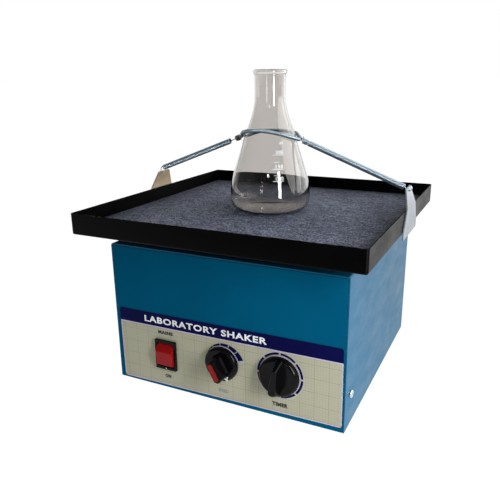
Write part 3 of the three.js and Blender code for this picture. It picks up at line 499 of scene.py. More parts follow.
def rounded_profile(points, radii, steps=4):
    """Rounds the inner corners of an open profile, each by its own radius or as far as its sides allow."""
    made = [points[0]]
    for before, corner, after, radius in zip(points, points[1:], points[2:], radii):
        a, c, b = Vector(before), Vector(corner), Vector(after)
        r = min(radius, (a - c).length * 0.48, (b - c).length * 0.48)
        start, end = c + (a - c).normalized() * r, c + (b - c).normalized() * r
        made += [quadratic(start, c, end, k / steps) for k in range(steps + 1)]
    made.append(points[-1])
    return made


def extruded(outline, low, high, holes=()):
    """A plate from an outline and holes in plan, between two heights."""
    shape = bmesh.new()
    edges = []
    for loop in (outline, *holes):
        verts = [shape.verts.new((x, y, low)) for x, y in loop]
        edges += [shape.edges.new((verts[k - 1], verts[k])) for k in range(len(verts))]
    bmesh.ops.triangle_fill(shape, use_beauty=True, use_dissolve=False, edges=edges)
    grown = bmesh.ops.extrude_face_region(shape, geom=list(shape.faces))
    top = [item for item in grown["geom"] if isinstance(item, bmesh.types.BMVert)]
    bmesh.ops.translate(shape, verts=top, vec=(0, 0, high - low))
    return shape


def arc(x, y, radius, start, end, steps):
    """Points on an arc, angles in degrees."""
    angles = (radians(start + (end - start) * k / steps) for k in range(steps + 1))
    return [(x + radius * cos(angle), y + radius * sin(angle)) for angle in angles]


def rounded_box(width, depth, radius, x=0, y=0, steps=6):
    w, d = width / 2 - radius, depth / 2 - radius
    return [point for sx, sy, start in ((1, -1, -90), (1, 1, 0), (-1, 1, 90), (-1, -1, 180))
            for point in arc(x + sx * w, y + sy * d, radius, start, start + 90, steps)]


def stadium(reach, radius):
    """A bar along Y with round ends."""
    return arc(0, reach, radius, 0, 180, ROUND_END_STEPS) + arc(0, -reach, radius, 180, 360, ROUND_END_STEPS)


def swept(points, radius, sides=8):
    """A round wire along a line of points, closed at both ends."""
    line = [Vector(point) for point in points]
    ahead = (line[1] - line[0]).normalized()
    across = ahead.orthogonal().normalized()
    turns = [2 * pi * k / sides for k in range(sides)]
    rings = []
    for k, point in enumerate(line):
        before, after = line[max(k - 1, 0)], line[min(k + 1, len(line) - 1)]
        heading = (after - before).normalized()
        across = (across - across.dot(heading) * heading).normalized()
        other = heading.cross(across)
        rings.append([point + radius * (cos(turn) * across + sin(turn) * other) for turn in turns])
    return skin(rings)


def smooth_line(points, steps=8):
    """A Catmull-Rom line through the points."""
    knots = [Vector(point) for point in points]
    knots = [2 * knots[0] - knots[1], *knots, 2 * knots[-1] - knots[-2]]
    made = []
    for a, b, c, d in zip(knots, knots[1:], knots[2:], knots[3:]):
        for k in range(steps):
            t = k / steps
            made.append(0.5 * (2 * b + (c - a) * t + (2 * a - 5 * b + 4 * c - d) * t ** 2
                               + (3 * b - a - 3 * c + d) * t ** 3))
    made.append(knots[-2])
    return made


def coiled(points, coil, wire, pitch, per_turn=14, sides=6):
    """A close-wound wire round a smooth line: coil is the radius of the wire's middle."""
    line = [Vector(point) for point in points]
    lengths = [0.0]
    for a, b in zip(line, line[1:]):
        lengths.append(lengths[-1] + (b - a).length)
    total = lengths[-1]
    count = int(total / pitch * per_turn)
    turns, index = [], 0
    across = (line[1] - line[0]).orthogonal().normalized()
    for k in range(count + 1):
        along = total * k / count
        while index < len(line) - 2 and lengths[index + 1] < along:
            index += 1
        share = (along - lengths[index]) / (lengths[index + 1] - lengths[index])
        middle = line[index].lerp(line[index + 1], share)
        heading = (line[index + 1] - line[index]).normalized()
        across = (across - across.dot(heading) * heading).normalized()
        other = heading.cross(across)
        angle = 2 * pi * k / per_turn
        turns.append(middle + coil * (cos(angle) * across + sin(angle) * other))
    return swept(turns, wire, sides)


def lettering(text, height, x, y, depth, bold, spacing, width=None):
    """Raised letters in plan, centred on x and standing on y; width stretches them to that length."""
    curve = bpy.data.curves.new("letters", "FONT")
    curve.body = text
    curve.align_x = "CENTER"
    curve.space_character = spacing
    curve.offset = bold
    curve.size = 1
    curve.resolution_u = 3
    curve.extrude = 0.5
    holder = linked("letters", curve)
    bpy.context.view_layer.update()
    mesh = bpy.data.meshes.new_from_object(holder.evaluated_get(bpy.context.evaluated_depsgraph_get()))
    bpy.data.objects.remove(holder)
    bpy.data.curves.remove(curve)
    shape = bmesh.new()
    shape.from_mesh(mesh)
    bpy.data.meshes.remove(mesh)
    bmesh.ops.remove_doubles(shape, verts=shape.verts, dist=1e-4)
    low = Vector([min(v.co[k] for v in shape.verts) for k in range(3)])
    high = Vector([max(v.co[k] for v in shape.verts) for k in range(3)])
    size = high - low
    grow = height / size.y
    stretch = width / size.x if width else grow
    shape.transform(Matrix.Translation((x, y, 0)) @ Matrix.Diagonal((stretch, grow, depth / size.z, 1))
                    @ Matrix.Translation((-(low.x + high.x) / 2, -low.y, -low.z)))
    return shape


# ---- places taken from the frame

def corner_mm(node, which):
    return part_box(node)[which] / MM


def middle_mm(node):
    low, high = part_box(node)
    return (low + high) / 2 / MM


JOINTS = {joint["name"]: joint for joint in frame["joints"]}


def pivot_mm(joint):
    return Vector(JOINTS[joint]["pos_m"]) / MM


FRONT = corner_mm("chassis", 0).y
SKIN = corner_mm("front_overlay", 0).y
REAR = corner_mm("cover", 1).y
MAT_TOP = corner_mm("mat", 1).z
FLASK_AXIS = middle_mm("flask")
FLASK_FOOT = corner_mm("flask", 0).z


def spin(angle, axis):
    return Matrix.Rotation(angle, 4, axis)


def at(x, y, z):
    """A shift to a place of the frame, given in millimetres."""
    return Matrix.Translation(Vector((x, y, z)) * MM)


def on_front(x, z, y=None):
    """The place of a shape drawn about +Z that points out of the front panel."""
    return at(x, FRONT if y is None else y, z) @ spin(pi / 2, "X")


def on_rear(x, z, y=None):
    """The place of a shape drawn about +Z that points out of the back."""
    return at(x, REAR if y is None else y, z) @ spin(-pi / 2, "X") @ spin(pi, "Z")


# ---- housing

COVER_SCREW, TRAY_SCREW = 7, 4.4          # lengths under the head
SCREW_TURNS = {"left": 0.6, "right": 0.6, "rear_left": 0.4, "rear_right": 1.3}      # of each slot, in radians
# the side of a foot: recess, ring on the bench, groove that holds it in the floor, and its nib
FOOT = [(0, 2.4), (3.6, 2.4), (4, 0), (9.6, 0), (11, 7.7),
        (3.4, 7.7), (3.4, 9.8), (5.2, 9.8), (3.4, 12.5), (0, 12.5)]
FOOT_ROUNDING = [0.4, 0.5, 1.4, 0.6, 0.2, 0.2, 0.3, 0.6]


def screw_shape(length):
    """A slotted pan-head screw along +Z, its seat at z = 0.3."""
    head, rise, shank = 3.9, 2.6, 1.9
    profile = [(0, -length), (shank - 0.5, -length), (shank, -length + 0.6)]
    pitch = 0.8
    turns = int((length - 1) / pitch)
    for k in range(turns):
        z = -length + 0.8 + k * pitch
        profile += [(shank, z), (shank - 0.3, z + pitch / 2)]
    profile += [(shank, -0.2), (shank, 0.3)]
    dome = [(head - 0.15, 0.3), (head, 0.45), (head, 1.2), (head - 0.4, 1.9), (head - 1.4, 2.45), (1.4, rise),
            (0, rise)]
    return slotted(lathe(profile + dome, 40), head, rise, 0.9, 0.9)


def slotted(shape, reach, top, width, depth):
    """Cuts a screwdriver slot across the top of a turned head."""
    block = extruded([(-reach - 1, -width / 2), (reach + 1, -width / 2), (reach + 1, width / 2),
                      (-reach - 1, width / 2)], top - depth, top + 2)
    return without(shape, block)


def without(shape, tool):
    """Cuts one closed bmesh out of another."""
    holders = []
    for part in (shape, tool):
        bmesh.ops.recalc_face_normals(part, faces=part.faces)
        mesh = bpy.data.meshes.new("solid")
        part.to_mesh(mesh)
        part.free()
        holders.append(linked("solid", mesh))
    cut = holders[0].modifiers.new("cut", "BOOLEAN")
    cut.operation = "DIFFERENCE"
    cut.solver = "EXACT"
    cut.object = holders[1]
    bpy.context.view_layer.update()
    result = bmesh.new()
    result.from_object(holders[0], bpy.context.evaluated_depsgraph_get())
    for holder in holders:
        mesh = holder.data
        bpy.data.objects.remove(holder)
        bpy.data.meshes.remove(mesh)
    return result


def make_cover_screws():
    wall = corner_mm("cover", 1).x
    for side, turn in SCREW_TURNS.items():
        node = f"cover_screw_{side}"
        place = middle_mm(node)
        if side in SIDES:
            stand = at(SIDES[side] * wall, place.y, place.z) @ spin(SIDES[side] * pi / 2, "Y")
        else:
            stand = on_rear(place.x, place.z)
        add_piece(f"case_screw_{side}", screw_shape(COVER_SCREW), "steel", BASE, [node],
                  stand @ spin(turn, "Z"))


def make_feet():
    for number in range(1, 5):
        node = f"foot_{number}"
        place = middle_mm(node)
        foot = lathe(rounded_profile(FOOT, FOOT_ROUNDING), 64)
        add_piece(f"rubber_{node}", foot, "rubber", BASE, [node], at(place.x, place.y, 0))


def make_housing():
    add_piece("front_chassis", refined("chassis", 0.35), "front_paint", BASE, ["chassis"])
    add_piece("wrap_cover", refined("cover", 0.3), "paint", BASE, ["cover"])
    make_cover_screws()
    make_feet()


# ---- printed front

PANEL = {
    "width": 247.5, "height": 80.6, "tilt": 0.65, "radius": 2.2, "thick": 0.4,
    "band": 14.2, "border": 0.9, "margin": 3.4, "margin_line": 0.28,
}
# cut through the film: width, height and corner radius at the switch, and a radius at each knob
HOLES = {"switch": (22.6, 29.2, 0.3), "speed": 4.8, "timer": 5.5}
BAND_GROWTH = (1.0008, 1.003)       # the band covers the film's own edge
INK = {"low": 0.34, "high": 0.44}   # ink stands a little proud of the film
LETTER_DEPTH = 0.06
# printed round the speed knob: radii of a line and of a wedge, and where they start and end in degrees
SCALE = {"line": (17.1, 18.3), "wedge": (18.5, 24.3), "from": 150, "to": 16, "segments": 5}
# printed round the timer knob: radii of two thin rings and of the blocks between them
DIAL = {"inner": (20.2, 21.1), "blocks": (21.5, 23.8), "outer": (24.3, 24.8), "blocks_per_turn": 8}


def ring_sector(x, y, inner, outer, start, end, low, high, steps=12):
    """A flat piece of a ring; outer may be a pair, so that its width grows from start to end."""
    first, last = outer if isinstance(outer, tuple) else (outer, outer)
    angles = [radians(start + (end - start) * k / steps) for k in range(steps + 1)]
    far = []
    for k, angle in enumerate(angles):
        radius = first + (last - first) * k / steps
        far.append((x + radius * cos(angle), y + radius * sin(angle)))
    near = [(x + inner * cos(angle), y + inner * sin(angle)) for angle in reversed(angles)]
    return extruded(far + near, low, high)


def full_ring(x, y, inner, outer, low, high):
    return extruded(arc(x, y, outer, 0, 355, 71), low, high, [arc(x, y, inner, 0, 355, 71)])


def bar(x0, y0, x1, y1, low, high):
    return extruded([(x0, y0), (x1, y0), (x1, y1), (x0, y1)], low, high)


def film_place(depth):
    """Plan coordinates of the film: from its middle, along its own edges, with z out of the panel."""
    middle = middle_mm("front_overlay")
    return on_front(middle.x, middle.z, depth) @ spin(radians(PANEL["tilt"]), "Z")


def on_film(point):
    """Where a point of the frame lies in the film's plan coordinates."""
    from_middle = point - middle_mm("front_overlay")
    return Matrix.Rotation(-radians(PANEL["tilt"]), 2) @ Vector((from_middle.x, from_middle.z))


def rule(x0, y0, x1, y1):
    return bar(x0, y0, x1, y1, **INK)


def word(text, centre, height, above, width, bold=0.06, spacing=1.1):
    """A printed word above or below a control."""
    return lettering(text, height, centre.x, centre.y + above, LETTER_DEPTH, bold, spacing, width)


def add_print(name, shapes, look, place):
    """Print on the film, in its own look."""
    add_piece(f"print_{name}", merged(*shapes), look, BASE, (), place)


def title_band(left, right, top, band):
    radius = PANEL["radius"]
    outline = (arc(right - radius, top - radius, radius, 0, 90, 6)
               + arc(left + radius, top - radius, radius, 90, 180, 6) + [(left, band), (right, band)])
    return extruded([(x * BAND_GROWTH[0], y * BAND_GROWTH[1]) for x, y in outline], 0.02, INK["high"])


def speed_wedge(centre):
    """Blocks round the speed knob that grow wider along the scale."""
    inner, widest = SCALE["wedge"]
    start, span, count = SCALE["from"], SCALE["to"] - SCALE["from"], SCALE["segments"]
    blocks = []
    for k in range(count):
        shares = ((k + 0.04) / count, (k + 0.96) / count)
        radii = tuple(inner + 0.3 + (widest - inner - 0.3) * share for share in shares)
        ends = (start + span * share for share in shares)
        blocks.append(ring_sector(*centre, inner, radii, *ends, **INK))
    return blocks


def timer_blocks(centre):
    step = 360 / DIAL["blocks_per_turn"]
    starts = (92.5 + k * step for k in range(DIAL["blocks_per_turn"]))
    return [ring_sector(*centre, *DIAL["blocks"], start, start + step - 5, **INK) for start in starts]


def make_overlay():
    place = film_place(SKIN + PANEL["thick"])
    right, top = PANEL["width"] / 2, PANEL["height"] / 2
    left, bottom = -right, -top
    radius, edge, margin = PANEL["radius"], PANEL["border"], PANEL["margin"]
    band = top - PANEL["band"]
    switch, speed, timer = (on_film(pivot_mm(joint)) for joint in
                            ("rocker_tilt", "speed_knob_turn", "timer_knob_turn"))
    width, height, corner = HOLES["switch"]
    holes = [rounded_box(width, height, corner, *switch, 2), arc(*speed, HOLES["speed"], 0, 350, 35),
             arc(*timer, HOLES["timer"], 0, 350, 35)]
    film = extruded(rounded_box(2 * right, 2 * top, radius), 0, PANEL["thick"], holes)
    add_piece("overlay_film", film, "print", BASE, ["front_overlay"], place)

    navy = [title_band(left, right, top, band), *speed_wedge(speed), *timer_blocks(timer)]
    add_print("navy", navy, "navy_ink", place)

    line_end, wedge_end, last = SCALE["line"][1], SCALE["wedge"][1], SCALE["to"]
    pale = [
        full_ring(*timer, *DIAL["inner"], **INK),
        full_ring(*timer, *DIAL["outer"], **INK),
        ring_sector(*speed, *SCALE["line"], SCALE["from"], last - 6, **INK, steps=30),
        ring_sector(*speed, line_end - 0.2, wedge_end + 0.2, last - 1, last - 5, **INK, steps=3),
        rule(left, band - edge, right, band),
        rule(left, bottom + radius, left + edge, band - edge - 0.02),
        rule(right - edge, bottom + radius, right, band - edge - 0.02),
        rule(left + radius, bottom, right - radius, bottom + edge),
    ]
    add_print("pale", pale, "pale_ink", place)

    line = PANEL["margin_line"]
    x0, x1, y0, y1 = left + margin, right - margin, bottom + margin, band - 0.6 * margin
    rose = [
        rule(x0, y0, x1, y0 + line),
        rule(x0, y1 - line, x1, y1),
        rule(x0, y0 + line + 0.02, x0 + line, y1 - line - 0.02),
        rule(x1 - line, y0 + line + 0.02, x1, y1 - line - 0.02),
    ]
    add_print("margin", rose, "rose_ink", place)

    title = lettering("LABORATORY SHAKER", 7.0, -21.6, top - 10.7, LETTER_DEPTH, 0.03, 1.12, 141)
    add_print("title", [title], "white_mark", film_place(SKIN - 0.03))
    words = film_place(SKIN + 0.01)
    labels = [
        word("MAINS", switch, height=4.0, above=22.6, width=18),
        word("ON", switch, height=4.2, above=-27.4, width=7.6),
        word("TIMER", timer, height=4.4, above=-33.9, width=16.5),
    ]
    add_print("labels", labels, "black_ink", words)
    speed_word = word("SPEED", speed, height=3.6, above=-33.2, width=11.5, bold=0.01, spacing=1.05)
    add_print("speed", [speed_word], "grey_ink", words)


# ---- switch and knobs

SPEED_POINTS, TIMER_POINTS = 152, 186       # degrees clockwise from upright, at rest


def make_switch():
    add_piece("rocker_bezel", refined("switch_bezel", 0.55, 35, 3), "black_plastic", BASE, ["switch_bezel"])
    centre = pivot_mm("rocker_tilt")
    face = corner_mm("switch_bezel", 0).y
    dot = lathe([(0, -0.1), (0.55, -0.1), (0.55, 0.05), (0, 0.05)], 20)
    lower_edge = corner_mm("switch_bezel", 0).z
    add_piece("bezel_dot", dot, "white_mark", BASE, (), on_front(centre.x, lower_edge + 1.7, face))

    tilt, width = 12, 19.6
    # side outline, drawn outward and up from the pivot: hollow faces meet in a soft ridge
    outline = [(-5, -9), (3, -12), (4.4, -11.8), (5.6, -8), (6.8, -4.2), (8.1, -0.4), (8.9, 1.9), (9.2, 3.2),
               (8.9, 4.3), (7.5, 7.0), (5.8, 9.7), (4.4, 11.8), (3, 12), (-5, 9)]
    body = bevelled(extruded(outline, -width / 2, width / 2), 0.9, 50, 4)
    stand = Matrix(((0, 0, -1, 0), (-1, 0, 0, 0), (0, 1, 0, 0), (0, 0, 0, 1)))
    place = at(*centre) @ stand @ spin(radians(tilt), "Z")
    add_piece("rocker_key", body, "red_plastic", "power_rocker", ["rocker"], place, crease=28)


def knob_place(joint, clockwise):
    """The place of a knob drawn about +Z whose pointing end is +Y."""
    pivot = pivot_mm(joint)
    return on_front(pivot.x, pivot.z) @ spin(-radians(clockwise), "Z")


def bar_outline(reach, radius, shift):
    return [(x, y + shift) for x, y in stadium(reach, radius)]


def knob_stem(bottom):
    return lathe([(0, bottom), (3, bottom), (3, 6), (0, 6)], 32)


def make_speed_knob():
    """A skirt with a tall grip bar near its pointing end; a red bar lies in the grip's face."""
    place = knob_place("speed_knob_turn", SPEED_POINTS)
    rim, top, shift = 18.2, 21.4, 1.4
    skirt = rounded_profile(
        [(0, 4.9), (8.5, 4.9), (8.5, 1.6), (rim - 0.2, 1.6), (rim, 3.2), (rim - 0.3, 5.2), (rim - 1.8, 6.8),
         (9, 6.6), (0, 6.6)], [0.3, 0.3, 0.3, 0.4, 0.8, 1.2, 1.0])
    levels = [(5.8, 1.9), (8.5, 0.9), (14, 0.45), (top - 0.9, 0.12), (top - 0.35, -0.1), (top, -0.6)]
    grip = skin([[(x, y, z) for x, y in bar_outline(7.4, 4 + grow, shift)] for z, grow in levels])
    grip = without(grip, extruded(bar_outline(7, 2.55, shift), 20.4, 24))
    add_piece("speed_knob_body", merged(lathe(skirt, 96), grip, knob_stem(-10)), "black_core",
              "speed_control", ["speed_knob"], place)
    insert = bevelled(extruded(bar_outline(7, 2.3, shift), 20.7, 22), 0.5, 50, 3,
                      lambda edge: min(v.co.z for v in edge.verts) > 21.5)
    add_piece("speed_insert", insert, "red_plastic", "speed_control", ["speed_pointer"], place)
    triangle, inside = [(0, 17.9), (-2.8, 13.4), (2.8, 13.4)], [(0, 16.0), (-0.9, 14.5), (0.9, 14.5)]
    mark = extruded(triangle, 6.3, 7.0, [inside])
    add_piece("speed_mark", mark, "white_mark", "speed_control", (), place)


def ridge_ring(z, half, tail, head):
    """One level of the ridge, with bluntly rounded ends and its width growing from tail to head."""
    straight, cap = 10, 1
    reach = straight + cap
    ring = []
    for x, y in stadium(straight, cap):
        width = tail + (head - tail) * ((y + reach) / (2 * reach))
        end = width * 0.8
        if y > straight:
            along = half - end + (y - straight) * end
        elif y < -straight:
            along = -half + end + (y + straight) * end
        else:
            along = copysign(half - end, y)
        ring.append((x * width, along, z))
    return ring


def make_timer_knob():
    """A broad disc with a ridge: sloping ends, a crest that widens toward its pointing end."""
    place = knob_place("timer_knob_turn", TIMER_POINTS)
    rim = 20.6
    disc = rounded_profile(
        [(0, 5), (8.5, 5), (8.5, 1.6), (rim - 0.2, 1.6), (rim, 3.0), (rim - 0.7, 6.2), (rim - 2.6, 8.0),
         (8, 7.2), (0, 7.0)], [0.3, 0.3, 0.3, 0.5, 0.8, 1.4, 1.6])
    # height, half-length, half-width at the tail and half-width at the pointing end of each level
    levels = [(6.6, 20.0, 4.4, 5.4), (8.6, 19.0, 3.7, 4.8), (12.5, 16.9, 3.0, 4.3), (17.0, 14.4, 2.5, 3.9),
              (18.5, 13.6, 2.3, 3.7), (19.0, 12.9, 1.8, 3.1)]
    ridge = skin([ridge_ring(*level) for level in levels])
    add_piece("timer_knob_body", merged(lathe(disc, 112), ridge, knob_stem(-16)), "black_core",
              "timer_control", ["timer_knob"], place, 40)


# ---- tray, mat and brackets

# cells across, how far the face lies below the CAD's, and the sunk, rubbed edge with its plain rim
MAT = {"cells": 190, "below": 0.25, "sink": 0.9, "rubbed": 2.2, "plain": 1}


def pan_loop(size, inset, z, radius):
    reach = max(radius - inset, 0.4)
    return [(x, y, z) for x, y in rounded_box(size - 2 * inset, size - 2 * inset, reach, 0, 0, 8)]


def make_tray():
    low, high = corner_mm("tray", 0), corner_mm("tray", 1)
    size, bottom, rim = high.x - low.x, low.z, high.z
    sheet, corner = 1.2, 3.0
    steps = [(6, bottom), (1.6, bottom), (0.7, bottom + 0.25), (0.2, bottom + 0.8), (0, bottom + 1.8),
             (0, rim - 0.35), (0.12, rim - 0.1), (0.35, rim), (sheet - 0.35, rim), (sheet - 0.12, rim - 0.1),
             (sheet, rim - 0.35), (sheet, bottom + 2.4), (sheet + 0.3, bottom + 1.6),
             (sheet + 1.1, bottom + sheet), (6, bottom + sheet)]
    loops = [pan_loop(size, inset, z, corner) for inset, z in steps]
    add_piece("tray_pan", skin(loops), "tray_paint", PLATFORM, ["tray"])


def pebbles(x, y):
    """How far the mat's face rises: long waves and small pebbles."""
    return 0.16 * noise.noise(Vector((x, y, 3)) / 34) + 0.14 * noise.noise(Vector((x, y, 0)) / 2.3)


def make_mat():
    """A rubber sheet whose face is pebbled and lies a little unevenly; its edges are rubbed round."""
    low, high = corner_mm("mat", 0), corner_mm("mat", 1)
    size, bottom = high.x - low.x, low.z
    cells = MAT["cells"]
    shape = bmesh.new()
    edge, top = size / 2, MAT_TOP - MAT["below"]
    rows = []
    for i in range(cells + 1):
        row = []
        for j in range(cells + 1):
            x, y = (size * (share / cells) - edge for share in (i, j))
            border = edge - max(abs(x), abs(y))
            sink = MAT["sink"] * max(0.0, 1 - border / MAT["rubbed"]) ** 2
            wave = pebbles(x, y) if border > MAT["plain"] else 0
            row.append(shape.verts.new((x, y, top + wave - sink)))
        rows.append(row)
    for a, b in zip(rows, rows[1:]):
        for k in range(cells):
            shape.faces.new((a[k], b[k], b[k + 1], a[k + 1]))
    rim = ([rows[k][0] for k in range(cells)] + [rows[cells][k] for k in range(cells)]
           + [rows[cells - k][cells] for k in range(cells)] + [rows[0][cells - k] for k in range(cells)])
    foot = [shape.verts.new((vert.co.x, vert.co.y, bottom)) for vert in rim]
    for k, vert in enumerate(rim):
        after = (k + 1) % len(rim)
        shape.faces.new((vert, rim[after], foot[after], foot[k]))
    shape.faces.new(foot)
    add_piece("speckled_mat", shape, "rubber_mat", PLATFORM, ["mat"], crease=60)


def make_brackets():
    # the left bracket wears the zinc copy with painted warm light, the right one the plain zinc
    for side, look in (("left", "painted_lit_zinc"), ("right", "zinc_steel")):
        node = f"{side}_bracket"
        add_piece(f"{side}_ear", refined(node, 0.35), look, PLATFORM, [node])


# ---- springs and loop

KNOTS = {"left": middle_mm("left_knot"), "right": middle_mm("right_knot")}
SPRING_Y = middle_mm("left_bracket").y
# each coil's end by its bracket, how far its other end stops short of the knot, and its hook in X and Z
SPRING = {
    "outer": 3.25, "wire": 0.55, "pitch": 1.12,
    "left": {
        "end": (-146.2, 221.3), "short": 11.0,
        "hook": [(-147.6, 222.6), (-150.0, 221.2), (-151.0, 218.0), (-149.9, 215.6), (-147.4, 215.0),
                 (-145.2, 215.4)],
    },
    "right": {
        "end": (143.0, 217.8), "short": 3.8,
        "hook": [(144.8, 216.2), (146.8, 215.0), (149.2, 214.8), (150.6, 216.6), (149.6, 219.2),
                 (147.4, 219.9)],
    },
}
STRAND = {"outer": 2.05, "wire": 0.38, "pitch": 0.78, "reach": 30.3, "start": 6.4}
ARCH = {
    "loop_front": {"side": -1, "rise": 12.4, "power": 0.8},
    "loop_back": {"side": 1, "rise": 7.6, "power": 0.35},
}


def add_coil(name, parts, look, node):
    add_piece(name, merged(*parts), look, PLATFORM, [node], crease=80)


def spring_line(name):
    """A coil's end by its bracket, its direction, and a function for places beyond its knot."""
    knot = KNOTS[name]
    x, z = SPRING[name]["end"]
    low = Vector((x, SPRING_Y, z))
    along = (knot - low).normalized()

    def beyond(reach, aside=0.0):
        return knot + reach * along + Vector((0, aside, 0))

    return low, along, beyond


def make_spring(name):
    """Close-wound steel spring with a hook through the bracket's eye and a hook into the knot."""
    low, along, beyond = spring_line(name)
    outer, wire, short = SPRING["outer"], SPRING["wire"], SPRING[name]["short"]
    coil = coiled([low, beyond(-short)], outer - wire, wire, SPRING["pitch"])
    start = low + 0.8 * along + Vector((0, 0, 1.6))
    hook_line = [start] + [Vector((x, SPRING_Y, z)) for x, z in SPRING[name]["hook"]]
    hook = swept(smooth_line(hook_line, 6), wire, 10)
    tail_line = [beyond(-short - 0.8, 2.3), beyond(-short + 0.6, 1.8), beyond((-short - 2.2) / 2, 0.2),
                 beyond(-1.6, -0.6), beyond(1.2, -0.9), beyond(1.9, -0.2) + Vector((0, 0, 1.0)),
                 beyond(0.4, 0.9) + Vector((0, 0, 1.2))]
    tail = swept(smooth_line(tail_line, 6), wire, 10)
    add_coil(f"{name}_coil_spring", [coil, hook, tail], "spring_steel", f"{name}_spring")


def make_knot(name):
    """Turns of wire that bind the ends of both strands to the main spring's hook."""
    beyond = spring_line(name)[2]
    wrap = coiled([beyond(-2.6), beyond(2.9)], 2.75, 0.5, 1.18, 18, 8)
    end_line = [beyond(2.6, 2.4), beyond(3.2, 1.6) + Vector((0, 0, 2.4)),
                beyond(2.4, 0.4) + Vector((0, 0, 4.3))]
    end = swept(smooth_line(end_line, 6), 0.5, 8)
    look = "dull_wire" if name == "left" else "spring_steel"
    add_coil(f"{name}_tie", [wrap, end], look, f"{name}_knot")


def strand_points(side, rise, power):
    """The middle line of one strand: on a circle round the flask, between the tangents from both knots."""
    reach = STRAND["reach"]
    left, right = KNOTS["left"], KNOTS["right"]

    def tangent(knot):
        return acos(reach / (knot - FLASK_AXIS).xy.length)

    first, last = pi - tangent(left), tangent(right)
    steps = 12
    points = []
    for k in range(steps + 1):
        angle = first + (last - first) * k / steps
        x = FLASK_AXIS.x + reach * cos(angle)
        share = (x - left.x) / (right.x - left.x)
        z = left.z + (right.z - left.z) * share + rise * sin(pi * share) ** power
        points.append(Vector((x, FLASK_AXIS.y + side * reach * sin(angle), z)))
    return points


def make_strand(name):
    """One coiled strand of the loop, with a straight stub of wire into each knot."""
    outer, wire, start = STRAND["outer"], STRAND["wire"], STRAND["start"]
    side = ARCH[name]["side"]
    ends = [spring_line("left")[2], spring_line("right")[2]]
    aside = side * (outer + 0.6)
    line = smooth_line([ends[0](start, aside), *strand_points(**ARCH[name]), ends[1](start, aside)], 8)
    parts = [coiled(line, outer - wire, wire, STRAND["pitch"], 12, 6)]
    for beyond in ends:
        stub = [beyond(0.6, side * 1.1), beyond(3.4, side * 1.2), beyond(start + 0.6, aside - side * 1.2)]
        parts.append(swept(smooth_line(stub, 5), 0.5, 8))
    add_coil(f"{name}_coil", parts, "spring_steel", name)


# ---- flask

FLASK = {
    "wall": 1.2, "body": 44.2, "body_height": 17, "cone_top": 87, "neck_bottom": 122, "neck": 16.5, "rim": 18,
}
FIGURES = {63: "200", 49: "150", 37: "100"}         # heights of the long marks and what stands over them
SHORT_MARKS = (56, 43)
FLASK_HEIGHT = corner_mm("flask", 1).z - FLASK_FOOT


def bend(a, b, c, steps):
    """Points of a quadratic curve after its start."""
    a, b, c = Vector(a), Vector(b), Vector(c)
    return [quadratic(a, b, c, (k + 1) / steps) for k in range(steps)]


def flask_outline(inset):
    """The side of the flask from its foot to its neck, drawn inward by the wall."""
    body, neck = FLASK["body"] - inset, FLASK["neck"] - inset
    height, cone_top, neck_bottom = FLASK["body_height"], FLASK["cone_top"], FLASK["neck_bottom"]
    shoulder = (body - 5.4, height + 28)
    points = [(FLASK["body"] - 15, inset * 1.1)]
    points += bend(points[-1], (body, inset * 1.1), (body, height - 2), 12)
    points += bend(points[-1], (body, height + 9), shoulder, 10)
    points += [(shoulder[0] + (neck + 8.8 - shoulder[0]) * k / 6,
                shoulder[1] + (cone_top - shoulder[1]) * k / 6) for k in range(1, 7)]
    points += bend(points[-1], (neck, neck_bottom - 14), (neck, neck_bottom), 14)
    return points


def flask_radius(height):
    """The outer radius of the flask at a height above its foot."""
    outline = flask_outline(0)
    for (r0, z0), (r1, z1) in zip(outline, outline[1:]):
        if z0 <= height <= z1 and z1 > z0:
            return r0 + (r1 - r0) * (height - z0) / (z1 - z0)
    return FLASK["neck"]


def make_flask():
    neck, rim, wall, top = FLASK["neck"], FLASK["rim"], FLASK["wall"], FLASK_HEIGHT
    bead = arc(rim - 1.9, top - 2.2, 1.9, -60, 90, 10)
    lip = arc(neck - wall + 1.2, top - 1.2, 1.2, 90, 180, 6)
    outer = [(0, 1.3), (12, 1.0), (20, 0.3)] + flask_outline(0) + [(neck, top - 7), (neck + 0.2, top - 5)]
    inner = [(neck - wall, top - 12)] + flask_outline(wall)[::-1] + [(14, wall + 0.8), (0, wall + 1.2)]
    shape = lathe(outer + bead + lip + inner, 128)
    place = at(FLASK_AXIS.x, FLASK_AXIS.y, FLASK_FOOT)
    add_piece("conical_flask", shape, "glass", PLATFORM, ["flask"], place, crease=50)
    make_graduations(place)


def make_graduations(place):
    """Fired-on white lines and figures, wrapped on the glass to the right of its middle."""
    marks = []
    thick = 0.05
    for height, figure in FIGURES.items():
        marks.append(bar(1.5, height, 13, height + 0.55, 0, thick))
        marks.append(lettering(figure, 3.4, 8.5, height + 1.3, thick, 0.01, 1.05, 8.2))
    marks += [bar(2.5, height, 8.0, height + 0.4, 0, thick) for height in SHORT_MARKS]
    marks.append(lettering("ml", 3.0, 10.6, 73.6, thick, 0.01, 1.05))
    shape = merged(*marks)
    bmesh.ops.triangulate(shape, faces=shape.faces)
    bmesh.ops.subdivide_edges(shape, edges=[e for e in shape.edges if e.calc_length() > 3], cuts=3)
    facing = radians(CAMERA["azimuth"])
    for vert in shape.verts:
        across, height, lift = vert.co
        radius = flask_radius(height) + 0.03 + lift
        angle = facing - pi / 2 + across / radius
        vert.co = (radius * cos(angle), radius * sin(angle), height)
    add_piece("flask_graduations", shape, "white_mark", PLATFORM, (), place)


# ---- back panel, drive and the rest

CARRIER_SHEET = 3


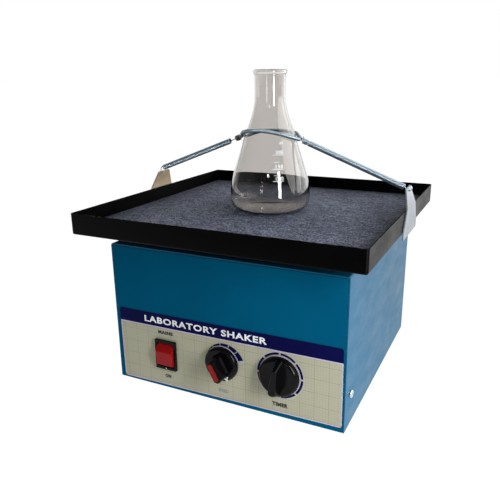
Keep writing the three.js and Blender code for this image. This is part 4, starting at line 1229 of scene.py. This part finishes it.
def make_rear():
    add_piece("inlet_socket", refined("mains_inlet", 0.5, 35, 3), "black_plastic", BASE, ["mains_inlet"])
    fuse = middle_mm("fuse_holder")
    place = on_rear(fuse.x, fuse.z, corner_mm("chassis", 1).y)
    tube = rounded_profile(
        [(0, -32), (6, -32), (6, 0.3), (8, 0.3), (8, 2.4), (4.4, 2.4), (4.4, -28), (0, -28)],
        [0.4, 0.1, 0.3, 0.6, 0.2, 0.2])
    add_piece("fuse_tube", lathe(tube, 48), "black_plastic", BASE, ["fuse_holder"], place)
    sides, flutes = 96, 24
    cap = lathe(rounded_profile([(0, -24), (4, -24), (4, 2.7), (6.6, 2.7), (6.2, 9), (0, 9)],
                                [0.4, 0.2, 0.3, 1.0]), sides)
    for vert in cap.verts:
        radius = vert.co.xy.length
        if radius > 5.8 and 3 < vert.co.z < 8.2:
            angle = atan2(vert.co.y, vert.co.x)
            grow = 1 - 0.035 * (0.5 + 0.5 * cos(flutes * angle))
            vert.co.x *= grow
            vert.co.y *= grow
    cap = slotted(cap, 5, 9, 1.2, 1.2)
    add_piece("fuse_knob", cap, "black_plastic", BASE, ["fuse_cap"], place)


def make_drive():
    for node, look, body, edge in (
            ("platform_carrier", "zinc_steel", PLATFORM, 0.5),
            ("deck_plate", "zinc_steel", BASE, 0.3), ("deck_rail_left", "zinc_steel", BASE, 0.3),
            ("deck_rail_right", "zinc_steel", BASE, 0.3), ("motor", "dark_steel", BASE, 0.5),
            ("control_board", "circuit_board", BASE, 0.15), ("timer_body", "white_plastic", BASE, 0.6)):
        add_piece(f"{node}_body", refined(node, edge), look, body, [node])
    for number in range(1, 5):
        node = f"tray_screw_{number}"
        place = middle_mm(node)
        seat = corner_mm("platform_carrier", 1).z - CARRIER_SHEET
        stand = at(place.x, place.y, seat) @ spin(pi, "X") @ spin(0.7 * number, "Z")
        add_piece(f"pan_{node}", screw_shape(TRAY_SCREW), "steel", PLATFORM, [node], stand)


def finish_carried_nodes():
    """Gives every CAD node the material of its record slot, for those that still show."""
    slots = {part["node"]: part["material_slot"] for part in frame["record"]["subparts"]}
    for name, node in frame["nodes"].items():
        node.data.materials.clear()
        node.data.materials.append(LOOKS[slots[name]])


# ---- assembly

make_camera()
make_studio()
make_housing()
make_overlay()
make_switch()
make_speed_knob()
make_timer_knob()
make_tray()
make_mat()
make_brackets()
for side_name in ("left", "right"):
    make_spring(side_name)
    make_knot(side_name)
for loop_name in ARCH:
    make_strand(loop_name)
make_flask()
make_rear()
make_drive()
finish_carried_nodes()
